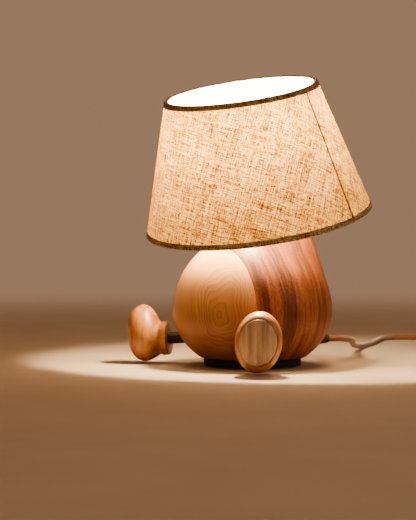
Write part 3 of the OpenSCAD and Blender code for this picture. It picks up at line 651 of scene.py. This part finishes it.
def leg_frame(side):
    """The frame of a leg: along it in X from where both leg axes meet. side is 1 or -1."""
    made = Matrix.Translation(leg_root) @ Matrix.Rotation(math.radians(-leg_spread), 4, "Z")
    made = made @ Matrix.Rotation(math.radians(leg_fall), 4, "Y")
    return Matrix.Scale(-1, 4, (1, 0, 0)) @ made if side < 0 else made


for side in (1, -1):
    ends = [leg_frame(side) @ Vector((x, 0, 0)) for x in (socket_from, socket_to)]
    drill(back, leg_d / 2 + 0.15, *ends)
dress(back, walnut, crease=30)

# ---------------------------------------------------------------- the dowels across the seam
# Three raw beech dowels are glued into blind holes on both sides of the seam, and hold the maple
# true while the glue sets.
dowel_beech, tree, shader = finish_named("dowel_beech", 0.6)
dowel_fibre = noise(tree, at(tree, (700, 40, 700)), 1.0, 3)
skin_tone(tree, shader, dowel_fibre, (0.3, (0.50, 0.32, 0.17)), (0.75, (0.66, 0.47, 0.28)))
keep(dowel_beech, "seam_dowels")

# ---------------------------------------------------------------- the base disc
# A black iron disc screwed up into the wood keeps the lamp on its seat.
# It is cast and painted, so its edge is soft and its skin is sandy.
base_r = 48.5
felt_top = 1.2


def lathe(name, outline, turned_frame, sides=96):
    """A solid turned about the frame's Z from a closed outline of (radius, height) in mm."""
    rings = []
    for r, h in outline:
        rings.append([turned_frame @ (Vector((r * math.cos(a), r * math.sin(a), h)) / 1000)
                      for a in np.arange(sides) * 2 * math.pi / sides])
    mesh = loft(name, rings, (outline[0][0] > 0.01, outline[-1][0] > 0.01))
    outward(mesh)
    return mesh


def rounded(r, low, high, soft, steps=5):
    """The outline of a disc of radius r with both edges rounded by soft."""
    line = [(r * 0.3, low), (r - soft * 2, low)]
    line += [(r - soft + soft * math.sin(q), low + soft - soft * math.cos(q))
             for q in np.linspace(0, math.pi / 2, steps)]
    line += [(r - soft + soft * math.cos(q), high - soft + soft * math.sin(q))
             for q in np.linspace(0, math.pi / 2, steps)]
    return line + [(r - soft * 2, high), (r * 0.3, high)]


upright = Matrix.Identity(4)
sandy_black, tree, shader = finish_named("cast_black_paint", 0.75)
sand = noise(tree, at(tree), 520, 5, 0.65)
skin_tone(tree, shader, sand, (0.3, (0.006, 0.0055, 0.005)), (0.62, (0.02, 0.018, 0.016)),
          (0.8, (0.06, 0.052, 0.045)))
skin_gloss(tree, shader, sand, (0.3, 0.6), (0.8, 0.9))
relief(tree, shader, sand, 0.8, 0.0009)
piece("ballast_disc", lathe("ballast_disc", rounded(base_r, felt_top, body_floor, 1.1), upright),
      sandy_black, "base", ("base_disc",))

# ---------------------------------------------------------------- the felt
# A disc of black wool felt, cut 1 mm smaller than the iron and glued under it, over its screws.
# It stops the lamp sliding and keeps it from marking the table.
felt, tree, shader = finish_named("black_felt", 1.0, Sheen_Weight=0.6, Sheen_Roughness=0.6)
hairs = noise(tree, at(tree), 1500, 4, 0.7)
skin_tone(tree, shader, hairs, (0.3, (0.008, 0.008, 0.008)), (0.75, (0.05, 0.047, 0.044)))
relief(tree, shader, hairs, 0.9, 0.0008)
piece("felt_sole", lathe("felt_sole", rounded(base_r - 1, 0.0, felt_top, 0.35, 3), upright), felt,
      "base", ("felt_pad",))

# ---------------------------------------------------------------- screws, nuts and the neck tube
# Zinc plated steel, turned or rolled: the base's, the feet's and the clamp's screws, the feet's
# washers, and the threaded tube with its washer and nut, which pulls the neck down on the wood.
steel, tree, shader = finish_named("zinc_plated_steel", 0.35, Metallic=1.0)
streaks = noise(tree, at(tree, (300, 300, 1200)), 1.0, 4)
skin_tone(tree, shader, streaks, (0.3, (0.42, 0.42, 0.41)), (0.7, (0.62, 0.61, 0.58)))
skin_gloss(tree, shader, streaks, (0.3, 0.26), (0.75, 0.46))
keep(steel, "base_screws", "foot_screws", "foot_washers", "tube_washer", "tube_nut", "neck_tube",
     "clamp_screws")

# ---------------------------------------------------------------- the legs
# Each leg is a 12 mm beech dowel, stained black right through and glued into its socket in the
# body. Its outer end is left bare for the foot to turn on.
black_stain, tree, shader = finish_named("black_stained_dowel", 0.5)
grain = noise(tree, at(tree, (260, 260, 900)), 1.0, 4, 0.6)
skin_tone(tree, shader, grain, (0.3, (0.008, 0.006, 0.005)), (0.8, (0.04, 0.028, 0.02)))
relief(tree, shader, grain, 0.3, 0.0003)
keep(black_stain, "leg_left", "leg_right")

# ---------------------------------------------------------------- the feet and their soles
# Each foot is oiled beech with a collar, shaped to an oval, and runs on its leg's end on a screw
# and washer. A crowned sole of a paler wood is glued into its end and covers the screw.
foot_at = 100.0  # where a foot starts along its leg
foot_turn = math.radians(-7)
foot_d = 37.5  # from the collar's face to the rim round the sole
foot_bore = 22  # how deep the leg goes in
beech_light, beech_dark = (0.50, 0.235, 0.095), (0.25, 0.085, 0.03)
sole_light, sole_dark = (0.60, 0.44, 0.29), (0.32, 0.20, 0.12)
sole_fit = 0.1  # how much smaller the sole is than the recess all round
sole_crown = 4.2
sole_h = 44.0
sole_w = 35.0
sole_z = 7.75
foot_sections = [  # along the foot, half width, top and bottom from the leg's axis
    (0, 16, 16, -16), (0.35, 16.6, 16.6, -16.6), (1.2, 17, 17, -17), (6, 17, 17, -17),
    (7.2, 16.8, 16.8, -16.7), (8.2, 16, 16.4, -15.8), (10.5, 17.4, 19.6, -16.2),
    (14, 19.2, 27.0, -18.4), (18.5, 21.1, 32.9, -20.6), (23.5, 22, 35.5, -22),
    (28, 22, 35.7, -21.8), (32, 21.2, 34.5, -20.6), (35, 20, 32.9, -18.4),
    (36.7, 18.8, 31.5, -16.6), (37.3, 18.2, 30.6, -15.4), (37.5, 17.9, 30.1, -14.6),
]


def oval(placed, x, w, top, bottom, sides=72):
    """An oval across the foot at x, from its half width, its top and its bottom."""
    mid, half = (top + bottom) / 2, (top - bottom) / 2
    return [placed @ (Vector((x, w * math.cos(a), mid + half * math.sin(a))) / 1000)
            for a in np.arange(sides) * 2 * math.pi / sides]


for side, name in ((1, "left"), (-1, "right")):
    on_foot = leg_frame(side)
    on_foot.translation = on_foot.translation / 1000
    turned = on_foot @ Matrix.Rotation(foot_turn, 4, "X") @ Matrix.Translation((foot_at / 1000, 0, 0))
    on_body = "foot_l" if side > 0 else "foot_r"
    upright_grain = (0, 0, math.radians(leg_spread * side))
    beech = straight_wood("warm_beech_" + name, 0.4, beech_light, beech_dark, turn=upright_grain,
                          bands=(150, 60, 9), pores=0.12, Coat_Weight=0.18, Coat_Roughness=0.3)
    rings = [oval(turned, *section) for section in smooth_line(foot_sections, 4)]
    for x, out in ((foot_d, 0.35), (foot_d - 0.3, 0.05), (foot_d - 2.5, 0.0)):
        rings.append(oval(turned, x, sole_w / 2 + out, sole_z + sole_h / 2 + out,
                          sole_z - sole_h / 2 - out))
    shape = loft("foot_wood_" + name, rings)
    outward(shape)
    foot = piece("foot_wood_" + name, shape, beech, on_body, ("foot_" + name,), crease=28)
    ends = [turned @ Vector((x / 1000, 0, 0)) * 1000 for x in (-2, foot_bore)]
    drill(foot, leg_d / 2 + 0.05, *ends)
    dress(foot, beech, crease=28)

    pale = straight_wood("pale_sole_" + name, 0.45, sole_light, sole_dark, turn=upright_grain,
                         bands=(60, 160, 9), pores=0.15, Coat_Weight=0.1, Coat_Roughness=0.35)
    half_w, half_h = sole_w / 2 - sole_fit, sole_h / 2 - sole_fit
    rings = [oval(turned, foot_d - 2.45, half_w, sole_z + half_h, sole_z - half_h)]
    for q in np.linspace(0, math.radians(88), 18):
        k, x = math.cos(q), foot_d + 0.2 + sole_crown * math.sin(q)
        rings.append(oval(turned, x, half_w * k, sole_z + half_h * k, sole_z - half_h * k))
    shape = loft("sole_wood_" + name, rings)
    outward(shape)
    piece("sole_wood_" + name, shape, pale, on_body, ("sole_" + name,), crease=40)

# ---------------------------------------------------------------- the wiring in the body
# Two sleeved wires run from a nylon terminal block up the neck tube, and a nylon clamp screwed down
# beside the block takes the pull of the cable.
pale_nylon, tree, shader = finish_named("pale_nylon", 0.5, Subsurface_Weight=0.1)
mottle = noise(tree, at(tree), 350, 3)
skin_tone(tree, shader, mottle, (0.3, (0.66, 0.63, 0.56)), (0.7, (0.8, 0.78, 0.72)))
keep(pale_nylon, "terminal_block", "cord_clamp")
sleeve, tree, shader = finish_named("wire_sleeve", 0.7)
weave = noise(tree, at(tree), 1800, 2)
skin_tone(tree, shader, weave, (0.3, (0.11, 0.05, 0.025)), (0.7, (0.26, 0.13, 0.07)))
relief(tree, shader, weave, 0.5, 0.0002)
keep(sleeve, "lamp_wires")

# ---------------------------------------------------------------- the strain relief
# A dark brown rubber sleeve, pushed into the cable's outlet and glued. It tapers away from the wood
# in eight ribs with grooves between them, so that it bends with the cable.
rubber, tree, shader = finish_named("ribbed_rubber", 0.62)
bloom = noise(tree, at(tree), 700, 4, 0.6)
skin_tone(tree, shader, bloom, (0.3, (0.045, 0.019, 0.009)), (0.75, (0.11, 0.048, 0.022)))
relief(tree, shader, bloom, 0.4, 0.0003)
outlet = Matrix.Translation(Vector((0, outlet_y, outlet_z)) / 1000)
outlet = outlet @ Matrix.Rotation(math.radians(-90), 4, "X")
neck_r, tip_r = 6.2, 4.5  # of the ribbed stretch, at the wood and at its end
ribs, rib_from, rib_pitch, rib_wide = 8, 10.2, 3.1, 1.7
taper_from, taper_long = 10, 26
relief_line = [(3.5, 0), (6.6, 0), (7, 0.5), (7, 6.9), (neck_r, 7.4), (neck_r, 9.6)]
for k in range(ribs):
    start = rib_from + k * rib_pitch
    r = neck_r - (neck_r - tip_r) * (start - taper_from) / taper_long
    relief_line += [(r, start), (r, start + rib_wide), (r - 0.8, start + 2.0),
                    (r - 0.85, start + 2.8)]
relief_line += [(tip_r, 35.0), (4.3, 35.8), (3.45, 36)]
piece("strain_relief", lathe("strain_relief", relief_line, outlet, 48), rubber, "base",
      ("cord_gland",), crease=40)

# ---------------------------------------------------------------- the neck
# A plate on the body's flat carries a fork that turns on the neck tube, and a tongue under the
# lampholder nods in the fork on one cross bolt. They are steel painted satin black, but for the bolt.
black_steel, tree, shader = finish_named("satin_black_steel", 0.4, Metallic=0.6)
skin = noise(tree, at(tree), 800, 4, 0.6)
skin_tone(tree, shader, skin, (0.3, (0.014, 0.013, 0.012)), (0.8, (0.04, 0.037, 0.034)))
skin_gloss(tree, shader, skin, (0.3, 0.32), (0.8, 0.52))
relief(tree, shader, skin, 0.2, 0.0002)
keep(black_steel, "neck_plate", "knuckle_fork", "knuckle_tongue")
keep(steel, "knuckle_bolt", "knuckle_nut")

# ---------------------------------------------------------------- the lampholder
# A black moulded holder with a threaded skirt and two ring nuts that clamp the shade's carrier.
# In it sit a porcelain core and a brass shell, which takes the bulb's brass screw cap.
bakelite, tree, shader = finish_named("black_bakelite", 0.3, Coat_Weight=0.3, Coat_Roughness=0.15)
flow = noise(tree, at(tree), 160, 5, 0.6)
skin_tone(tree, shader, flow, (0.35, (0.012, 0.010, 0.009)), (0.75, (0.032, 0.024, 0.02)))
skin_gloss(tree, shader, flow, (0.35, 0.24), (0.75, 0.38))
keep(bakelite, "holder_cap", "holder_skirt", "ring_lower", "ring_upper")
porcelain, tree, shader = finish_named("porcelain", 0.25, Coat_Weight=0.4)
cloud = noise(tree, at(tree), 240, 3)
skin_tone(tree, shader, cloud, (0.3, (0.74, 0.71, 0.65)), (0.7, (0.84, 0.82, 0.77)))
keep(porcelain, "holder_core")
brass, tree, shader = finish_named("brass", 0.3, Metallic=1.0)
tarnish = noise(tree, at(tree), 320, 4, 0.6)
skin_tone(tree, shader, tarnish, (0.3, (0.52, 0.36, 0.14)), (0.7, (0.75, 0.55, 0.25)))
skin_gloss(tree, shader, tarnish, (0.3, 0.42), (0.75, 0.22))
keep(brass, "holder_thread", "holder_contact", "bulb_cap")

# ---------------------------------------------------------------- the bulb
# A blown clear ball with a glass stem inside that holds four coated sticks, which glow a warm
# white. The light that the sticks give comes from one soft point in the ball's middle.
clear_glass, tree, shader = finish_named("bulb_glass", 0.03, Transmission_Weight=1.0, IOR=1.45)
haze = noise(tree, at(tree), 90, 3)
skin_tone(tree, shader, haze, (0.3, (1.0, 0.95, 0.87)), (0.7, (1.0, 0.97, 0.92)))
keep(clear_glass, "bulb_glass", "bulb_stem")
glow_tone, glow_power = (1.0, 0.62, 0.28), 28.0
hot, tree, shader = finish_named("glowing_stick", 0.6, Emission_Color=(*glow_tone, 1),
                                 Emission_Strength=glow_power)
coating = noise(tree, at(tree), 500, 2)
skin_tone(tree, shader, coating, (0.3, (0.9, 0.55, 0.2)), (0.7, (1.0, 0.75, 0.4)))
keep(hot, "bulb_filaments")
for name in ("bulb_glass", "bulb_stem", "bulb_filaments"):
    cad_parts[name].visible_shadow = False

pivot = Vector((0, neck_y, 148)) / 1000  # the middle of the bolt that the head nods on
head_turn, head_tip = math.radians(23), math.radians(16.1)
on_head = (Matrix.Translation(pivot) @ Matrix.Rotation(head_turn, 4, "Z")
           @ Matrix.Rotation(head_tip, 4, "X"))
bulb_s = 0.091  # from the pivot up to the light
bulb_power, bulb_tone, bulb_soft = 9.0, (1.0, 0.79, 0.53), 0.013
bulb_light = bpy.data.objects.new("bulb_light", bpy.data.lights.new("bulb_light", "POINT"))
bulb_light.data.energy = bulb_power
bulb_light.data.color = bulb_tone
bulb_light.data.shadow_soft_size = bulb_soft
bulb_light.location = on_head @ Vector((0, 0, bulb_s))
bulb_light.visible_camera = False
bpy.context.scene.collection.objects.link(bulb_light)
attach(bulb_light, "head")

# ---------------------------------------------------------------- the shade's linen
# Unbleached linen, laminated to a thin white liner, is rolled into a cone round two wire rings.
# Its ends overlap by a few millimetres down one side and are glued.
rim_s = -1.0  # the lower edge, measured like all of the shade up the head from its pivot
shade_top = 130.0
shade_r1 = 113.5
shade_r2 = 75.6
seam_at = math.radians(-8)
overlap = 2.5
lap_lift = 0.5  # how far the upper end of the cloth stands off the lower one
lap_rise = (0.955, 0.985)  # shares of the way round between which it climbs
cloth_middle = 0.62  # share of the way round that lies on the flat chart's middle line
cloth_short = 0.6  # how far each rim of the cloth stays inside the binding tape
slant = math.hypot(shade_top - rim_s, shade_r1 - shade_r2)
cone_sine = (shade_r1 - shade_r2) / slant
linen_shadow, linen_dark = (0.13, 0.058, 0.016), (0.40, 0.225, 0.08)
linen_mid, linen_light = (0.68, 0.475, 0.235), (0.88, 0.72, 0.45)
slub_tone, tape_tone = (0.06, 0.025, 0.009), (0.11, 0.066, 0.04)
through_tone = (0.54, 0.45, 0.275)


def cone_r(s):
    """The cone's radius at s."""
    return shade_r1 + (shade_r2 - shade_r1) * (s - rim_s) / (shade_top - rim_s)


def cone_point(angle, s, out):
    """A point on the cone in the head's frame; out is its distance outside the cone."""
    r = cone_r(s) + out
    return on_head @ (Vector((r * math.cos(angle), r * math.sin(angle), s)) / 1000)


def linen_named(name, dark_share, lit):
    """Slubby plain-weave linen, dyed darker by dark_share and letting a share lit of the light
    through. The chart is the flat cloth in metres, so the threads run true."""
    made, tree, shader = finish_named(name, 0.9, Sheen_Weight=0.25, Sheen_Roughness=0.5)
    cloth = tree.nodes.new("ShaderNodeTexCoord").outputs["UV"]
    parts = []
    for long_way, cross, slub_ways in (((55, 1150, 1), (9, 330, 1), (3.4, 0.85, 1)),
                                       ((1150, 55, 1), (330, 9, 1), (1.0, 4.5, 1))):
        thread = noise(tree, stretch(tree, cloth, long_way), 1.0, 2, 0.6)
        slub = noise(tree, stretch(tree, cloth, tuple(c * n for c, n in zip(long_way, slub_ways))),
                     1.0, 2, 0.6)
        broad = noise(tree, stretch(tree, cloth, cross), 1.0, 2, 0.6)
        parts.append((thread, slub, broad))
    yarn = calc(tree, "ADD", parts[0][0], parts[1][0])
    slubs = calc(tree, "MAXIMUM", parts[0][1], parts[1][1])
    broad = calc(tree, "ADD", parts[0][2], parts[1][2])
    patch = noise(tree, stretch(tree, cloth, (34, 34, 1)), 1.0, 3, 0.6)
    value = calc(tree, "MULTIPLY_ADD", calc(tree, "SUBTRACT", yarn, 1.0), 1.25,
                 calc(tree, "MULTIPLY_ADD", calc(tree, "SUBTRACT", broad, 1.0), 0.55, 0.55))
    value = calc(tree, "MULTIPLY_ADD", calc(tree, "SUBTRACT", patch, 0.5), 0.25, value)
    tone = colours(tree, value, (0.20, linen_shadow), (0.41, linen_dark), (0.57, linen_mid),
                   (0.80, linen_light))
    fleck = colours(tree, slubs, (0.0, (1, 1, 1)), (0.575, (1, 1, 1)), (0.635, slub_tone))
    tone = blend_of(tree, 0.9, tone, fleck, "MULTIPLY")
    if dark_share:
        tone = blend_of(tree, dark_share, tone, tape_tone)
    tree.links.new(tone, shader.inputs["Base Color"])
    relief(tree, shader, calc(tree, "ADD", yarn, slubs), 0.45, 0.0005)
    passed = blend_of(tree, 1.0, tone, through_tone, "MULTIPLY")
    through = put(tree, "BsdfTranslucent", {"Color": passed})
    both = put(tree, "MixShader", {0: lit, 1: shader.outputs[0], 2: through.outputs[0]})
    tree.links.new(both.outputs[0], tree.nodes["Material Output"].inputs["Surface"])
    return made


def cone_sheet(name, s_low, s_high, lift, wrap, columns, rows):
    """One layer of the cone with its flat chart. lift(share) is how far out it lies."""
    mesh = bpy.data.meshes.new(name)
    points, chart_points = [], []
    for i in range(columns + 1):
        angle = seam_at + wrap * i / columns
        for j in range(rows + 1):
            s = s_low + (s_high - s_low) * j / rows
            points.append(tuple(cone_point(angle, s, lift(i / columns))))
            reach = cone_r(s) / cone_sine
            swing = (angle - seam_at - math.pi * 2 * cloth_middle) * cone_sine
            chart_points.append((reach * math.sin(swing) / 1000, -reach * math.cos(swing) / 1000))
    step = rows + 1
    faces = [(i * step + j, (i + 1) * step + j, (i + 1) * step + j + 1, i * step + j + 1)
             for i in range(columns) for j in range(rows)]
    mesh.from_pydata(points, [], faces)
    chart = mesh.uv_layers.new(name="map")
    for loop in mesh.loops:
        chart.data[loop.index].uv = chart_points[loop.vertex_index]
    return mesh


linen = linen_named("unbleached_linen", 0.0, 0.55)
linen_wrap = 2 * math.pi + overlap / cone_r(60)
cloth = cone_sheet("shade_cloth", rim_s + cloth_short, shade_top - cloth_short,
                   lambda share: lap_lift * ease(share, *lap_rise), linen_wrap, 288, 24)
shade = piece("shade_cloth", cloth, linen, "head", ("shade_linen",), crease=60)

# ---------------------------------------------------------------- the shade's liner
# A thin white film behind the linen, a little shorter than it. It holds the cloth in shape and
# spreads the bulb's light.
liner_in = -0.9  # how far outside the cone it lies, so it is inside
liner_short = 1.2
liner_clear = 0.5  # share of the light that goes straight through
white_liner, tree, shader = finish_named("white_liner", 0.55)
grainy = noise(tree, at(tree), 900, 3)
skin_tone(tree, shader, grainy, (0.3, (0.66, 0.62, 0.54)), (0.7, (0.74, 0.70, 0.62)))
clear = put(tree, "BsdfTransparent", {})
both = put(tree, "MixShader", {0: liner_clear, 1: shader.outputs[0], 2: clear.outputs[0]})
tree.links.new(both.outputs[0], tree.nodes["Material Output"].inputs["Surface"])
film = cone_sheet("shade_lining", rim_s + liner_short, shade_top - liner_short,
                  lambda share: liner_in, 2 * math.pi, 192, 12)
piece("shade_lining", film, white_liner, "head", ("shade_liner",), crease=60)

# ---------------------------------------------------------------- the shade's binding tapes
# One tape for each rim, of the same linen dyed darker. It is folded over the rim, the rim's wire
# and the liner's edge, and glued inside and out.
tape = linen_named("binding_tape", 0.12, 0.3)
tape_wide = 5.0
tape_thick = 0.45
tape_columns = 288
tape_girth = 0.02  # metres round the tape's section, for its chart
tape_ripples = ((0.06, 37, 0), (0.05, 23, 1))  # height, waves round the rim, and where they start
for name, edge, into in (("lower", rim_s, 1), ("upper", shade_top, -1)):
    section = [(0.12, into * tape_wide), (tape_thick, into * tape_wide * 0.97)]
    section += [(tape_thick + 0.05, into * tape_wide * k) for k in (0.75, 0.5, 0.25, 0.08)]
    section += [(0.25, 0.0), (-0.5, 0.0), (-1.6, into * 0.4), (-1.8, into * 1.2),
                (-1.8, into * tape_wide * 0.75), (-1.5, into * tape_wide * 0.78)]
    section += [(-1.3, into * tape_wide * 0.7), (-1.25, into * 1.6), (-0.2, into * 1.1)]
    rings = []
    for i in range(tape_columns):
        angle = 2 * math.pi * i / tape_columns
        ripple = sum(high * math.sin(angle * waves + start) for high, waves, start in tape_ripples)
        rings.append([cone_point(angle, edge + run + (ripple if k < 2 else 0), out)
                      for k, (out, run) in enumerate(section)])
    rings.append(rings[0])
    shape = loft("tape_" + name, rings, (False, False))
    work = bmesh.new()
    work.from_mesh(shape)
    bmesh.ops.remove_doubles(work, verts=work.verts, dist=1e-6)
    bmesh.ops.recalc_face_normals(work, faces=work.faces)
    chart = work.loops.layers.uv["map"]
    for face in work.faces:
        for loop in face.loops:
            along_rim, round_tape = loop[chart].uv
            loop[chart].uv = (along_rim, round_tape * tape_girth)
    work.to_mesh(shape)
    work.free()
    piece("tape_" + name, shape, tape, "head", ("hem_" + name,), crease=50)

# ---------------------------------------------------------------- the shade's wires
# A ring of wire in each rim, and a carrier whose three arms run from the lower ring to a collar
# that the lampholder's two ring nuts clamp. All are steel, welded and lacquered white.
white_wire, tree, shader = finish_named("white_lacquered_wire", 0.35, Coat_Weight=0.2)
chips = noise(tree, at(tree), 700, 4, 0.6)
skin_tone(tree, shader, chips, (0.3, (0.70, 0.68, 0.63)), (0.6, (0.82, 0.80, 0.76)))
relief(tree, shader, chips, 0.15, 0.0002)
keep(white_wire, "rim_wire_lower", "rim_wire_upper", "shade_carrier")

# ---------------------------------------------------------------- floor and light
# A pale matt floor that fades into a warm backdrop. The lamp is lit, and two large soft studio
# lights help it: a weak one above the figure's front and a stronger, lower one at its left side.
floor_r, floor_sides = 3.0, 64
fade_from, fade_to = 0.7, 2.4
floor = bpy.data.meshes.new("floor")
floor.from_pydata([(floor_r * math.cos(a), floor_r * math.sin(a), 0)
                   for a in np.arange(floor_sides) * 2 * math.pi / floor_sides], [],
                  [tuple(range(floor_sides))])
floor_obj = bpy.data.objects.new("floor", floor)
bpy.context.scene.collection.objects.link(floor_obj)
pale_floor, tree, shader = finish_named("pale_floor", 0.85)
dust = noise(tree, at(tree), 14, 5)
skin_tone(tree, shader, dust, (0.3, (0.50, 0.40, 0.30)), (0.7, (0.54, 0.43, 0.33)))
away = put(tree, "VectorMath", {0: at(tree)}, operation="LENGTH").outputs[1]
fade = put(tree, "MapRange", {0: away, 1: fade_from, 2: fade_to},
           interpolation_type="SMOOTHSTEP").outputs[0]
clear = put(tree, "BsdfTransparent", {})
both = put(tree, "MixShader", {0: fade, 1: shader.outputs[0], 2: clear.outputs[0]})
tree.links.new(both.outputs[0], tree.nodes["Material Output"].inputs["Surface"])
floor.materials.append(pale_floor)

backdrop_tone, backdrop_power = (0.92, 0.59, 0.38), 0.33
world = bpy.data.worlds.new("studio")
world.use_nodes = True
world.node_tree.nodes["Background"].inputs[0].default_value = (*backdrop_tone, 1)
world.node_tree.nodes["Background"].inputs[1].default_value = backdrop_power
bpy.context.scene.world = world
bpy.context.scene.view_settings.look = "AgX - Medium High Contrast"
for name, power, tint, wide, azimuth, height, away in (
        ("key", 1.8, (1.0, 0.86, 0.70), 1.2, 20, 1.5, 1.5),
        ("fill", 4.0, (1.0, 0.93, 0.87), 1.0, 108, 0.8, 1.6)):
    soft = bpy.data.objects.new(name, bpy.data.lights.new(name, "AREA"))
    soft.data.energy = power
    soft.data.size = wide
    soft.data.color = tint
    a = math.radians(azimuth)
    soft.location = (math.sin(a) * away, -math.cos(a) * away, height)
    aim = Vector((0, 0, 0.1)) - soft.location
    soft.rotation_euler = aim.to_track_quat("-Z", "Y").to_euler()
    soft.visible_camera = False
    bpy.context.scene.collection.objects.link(soft)
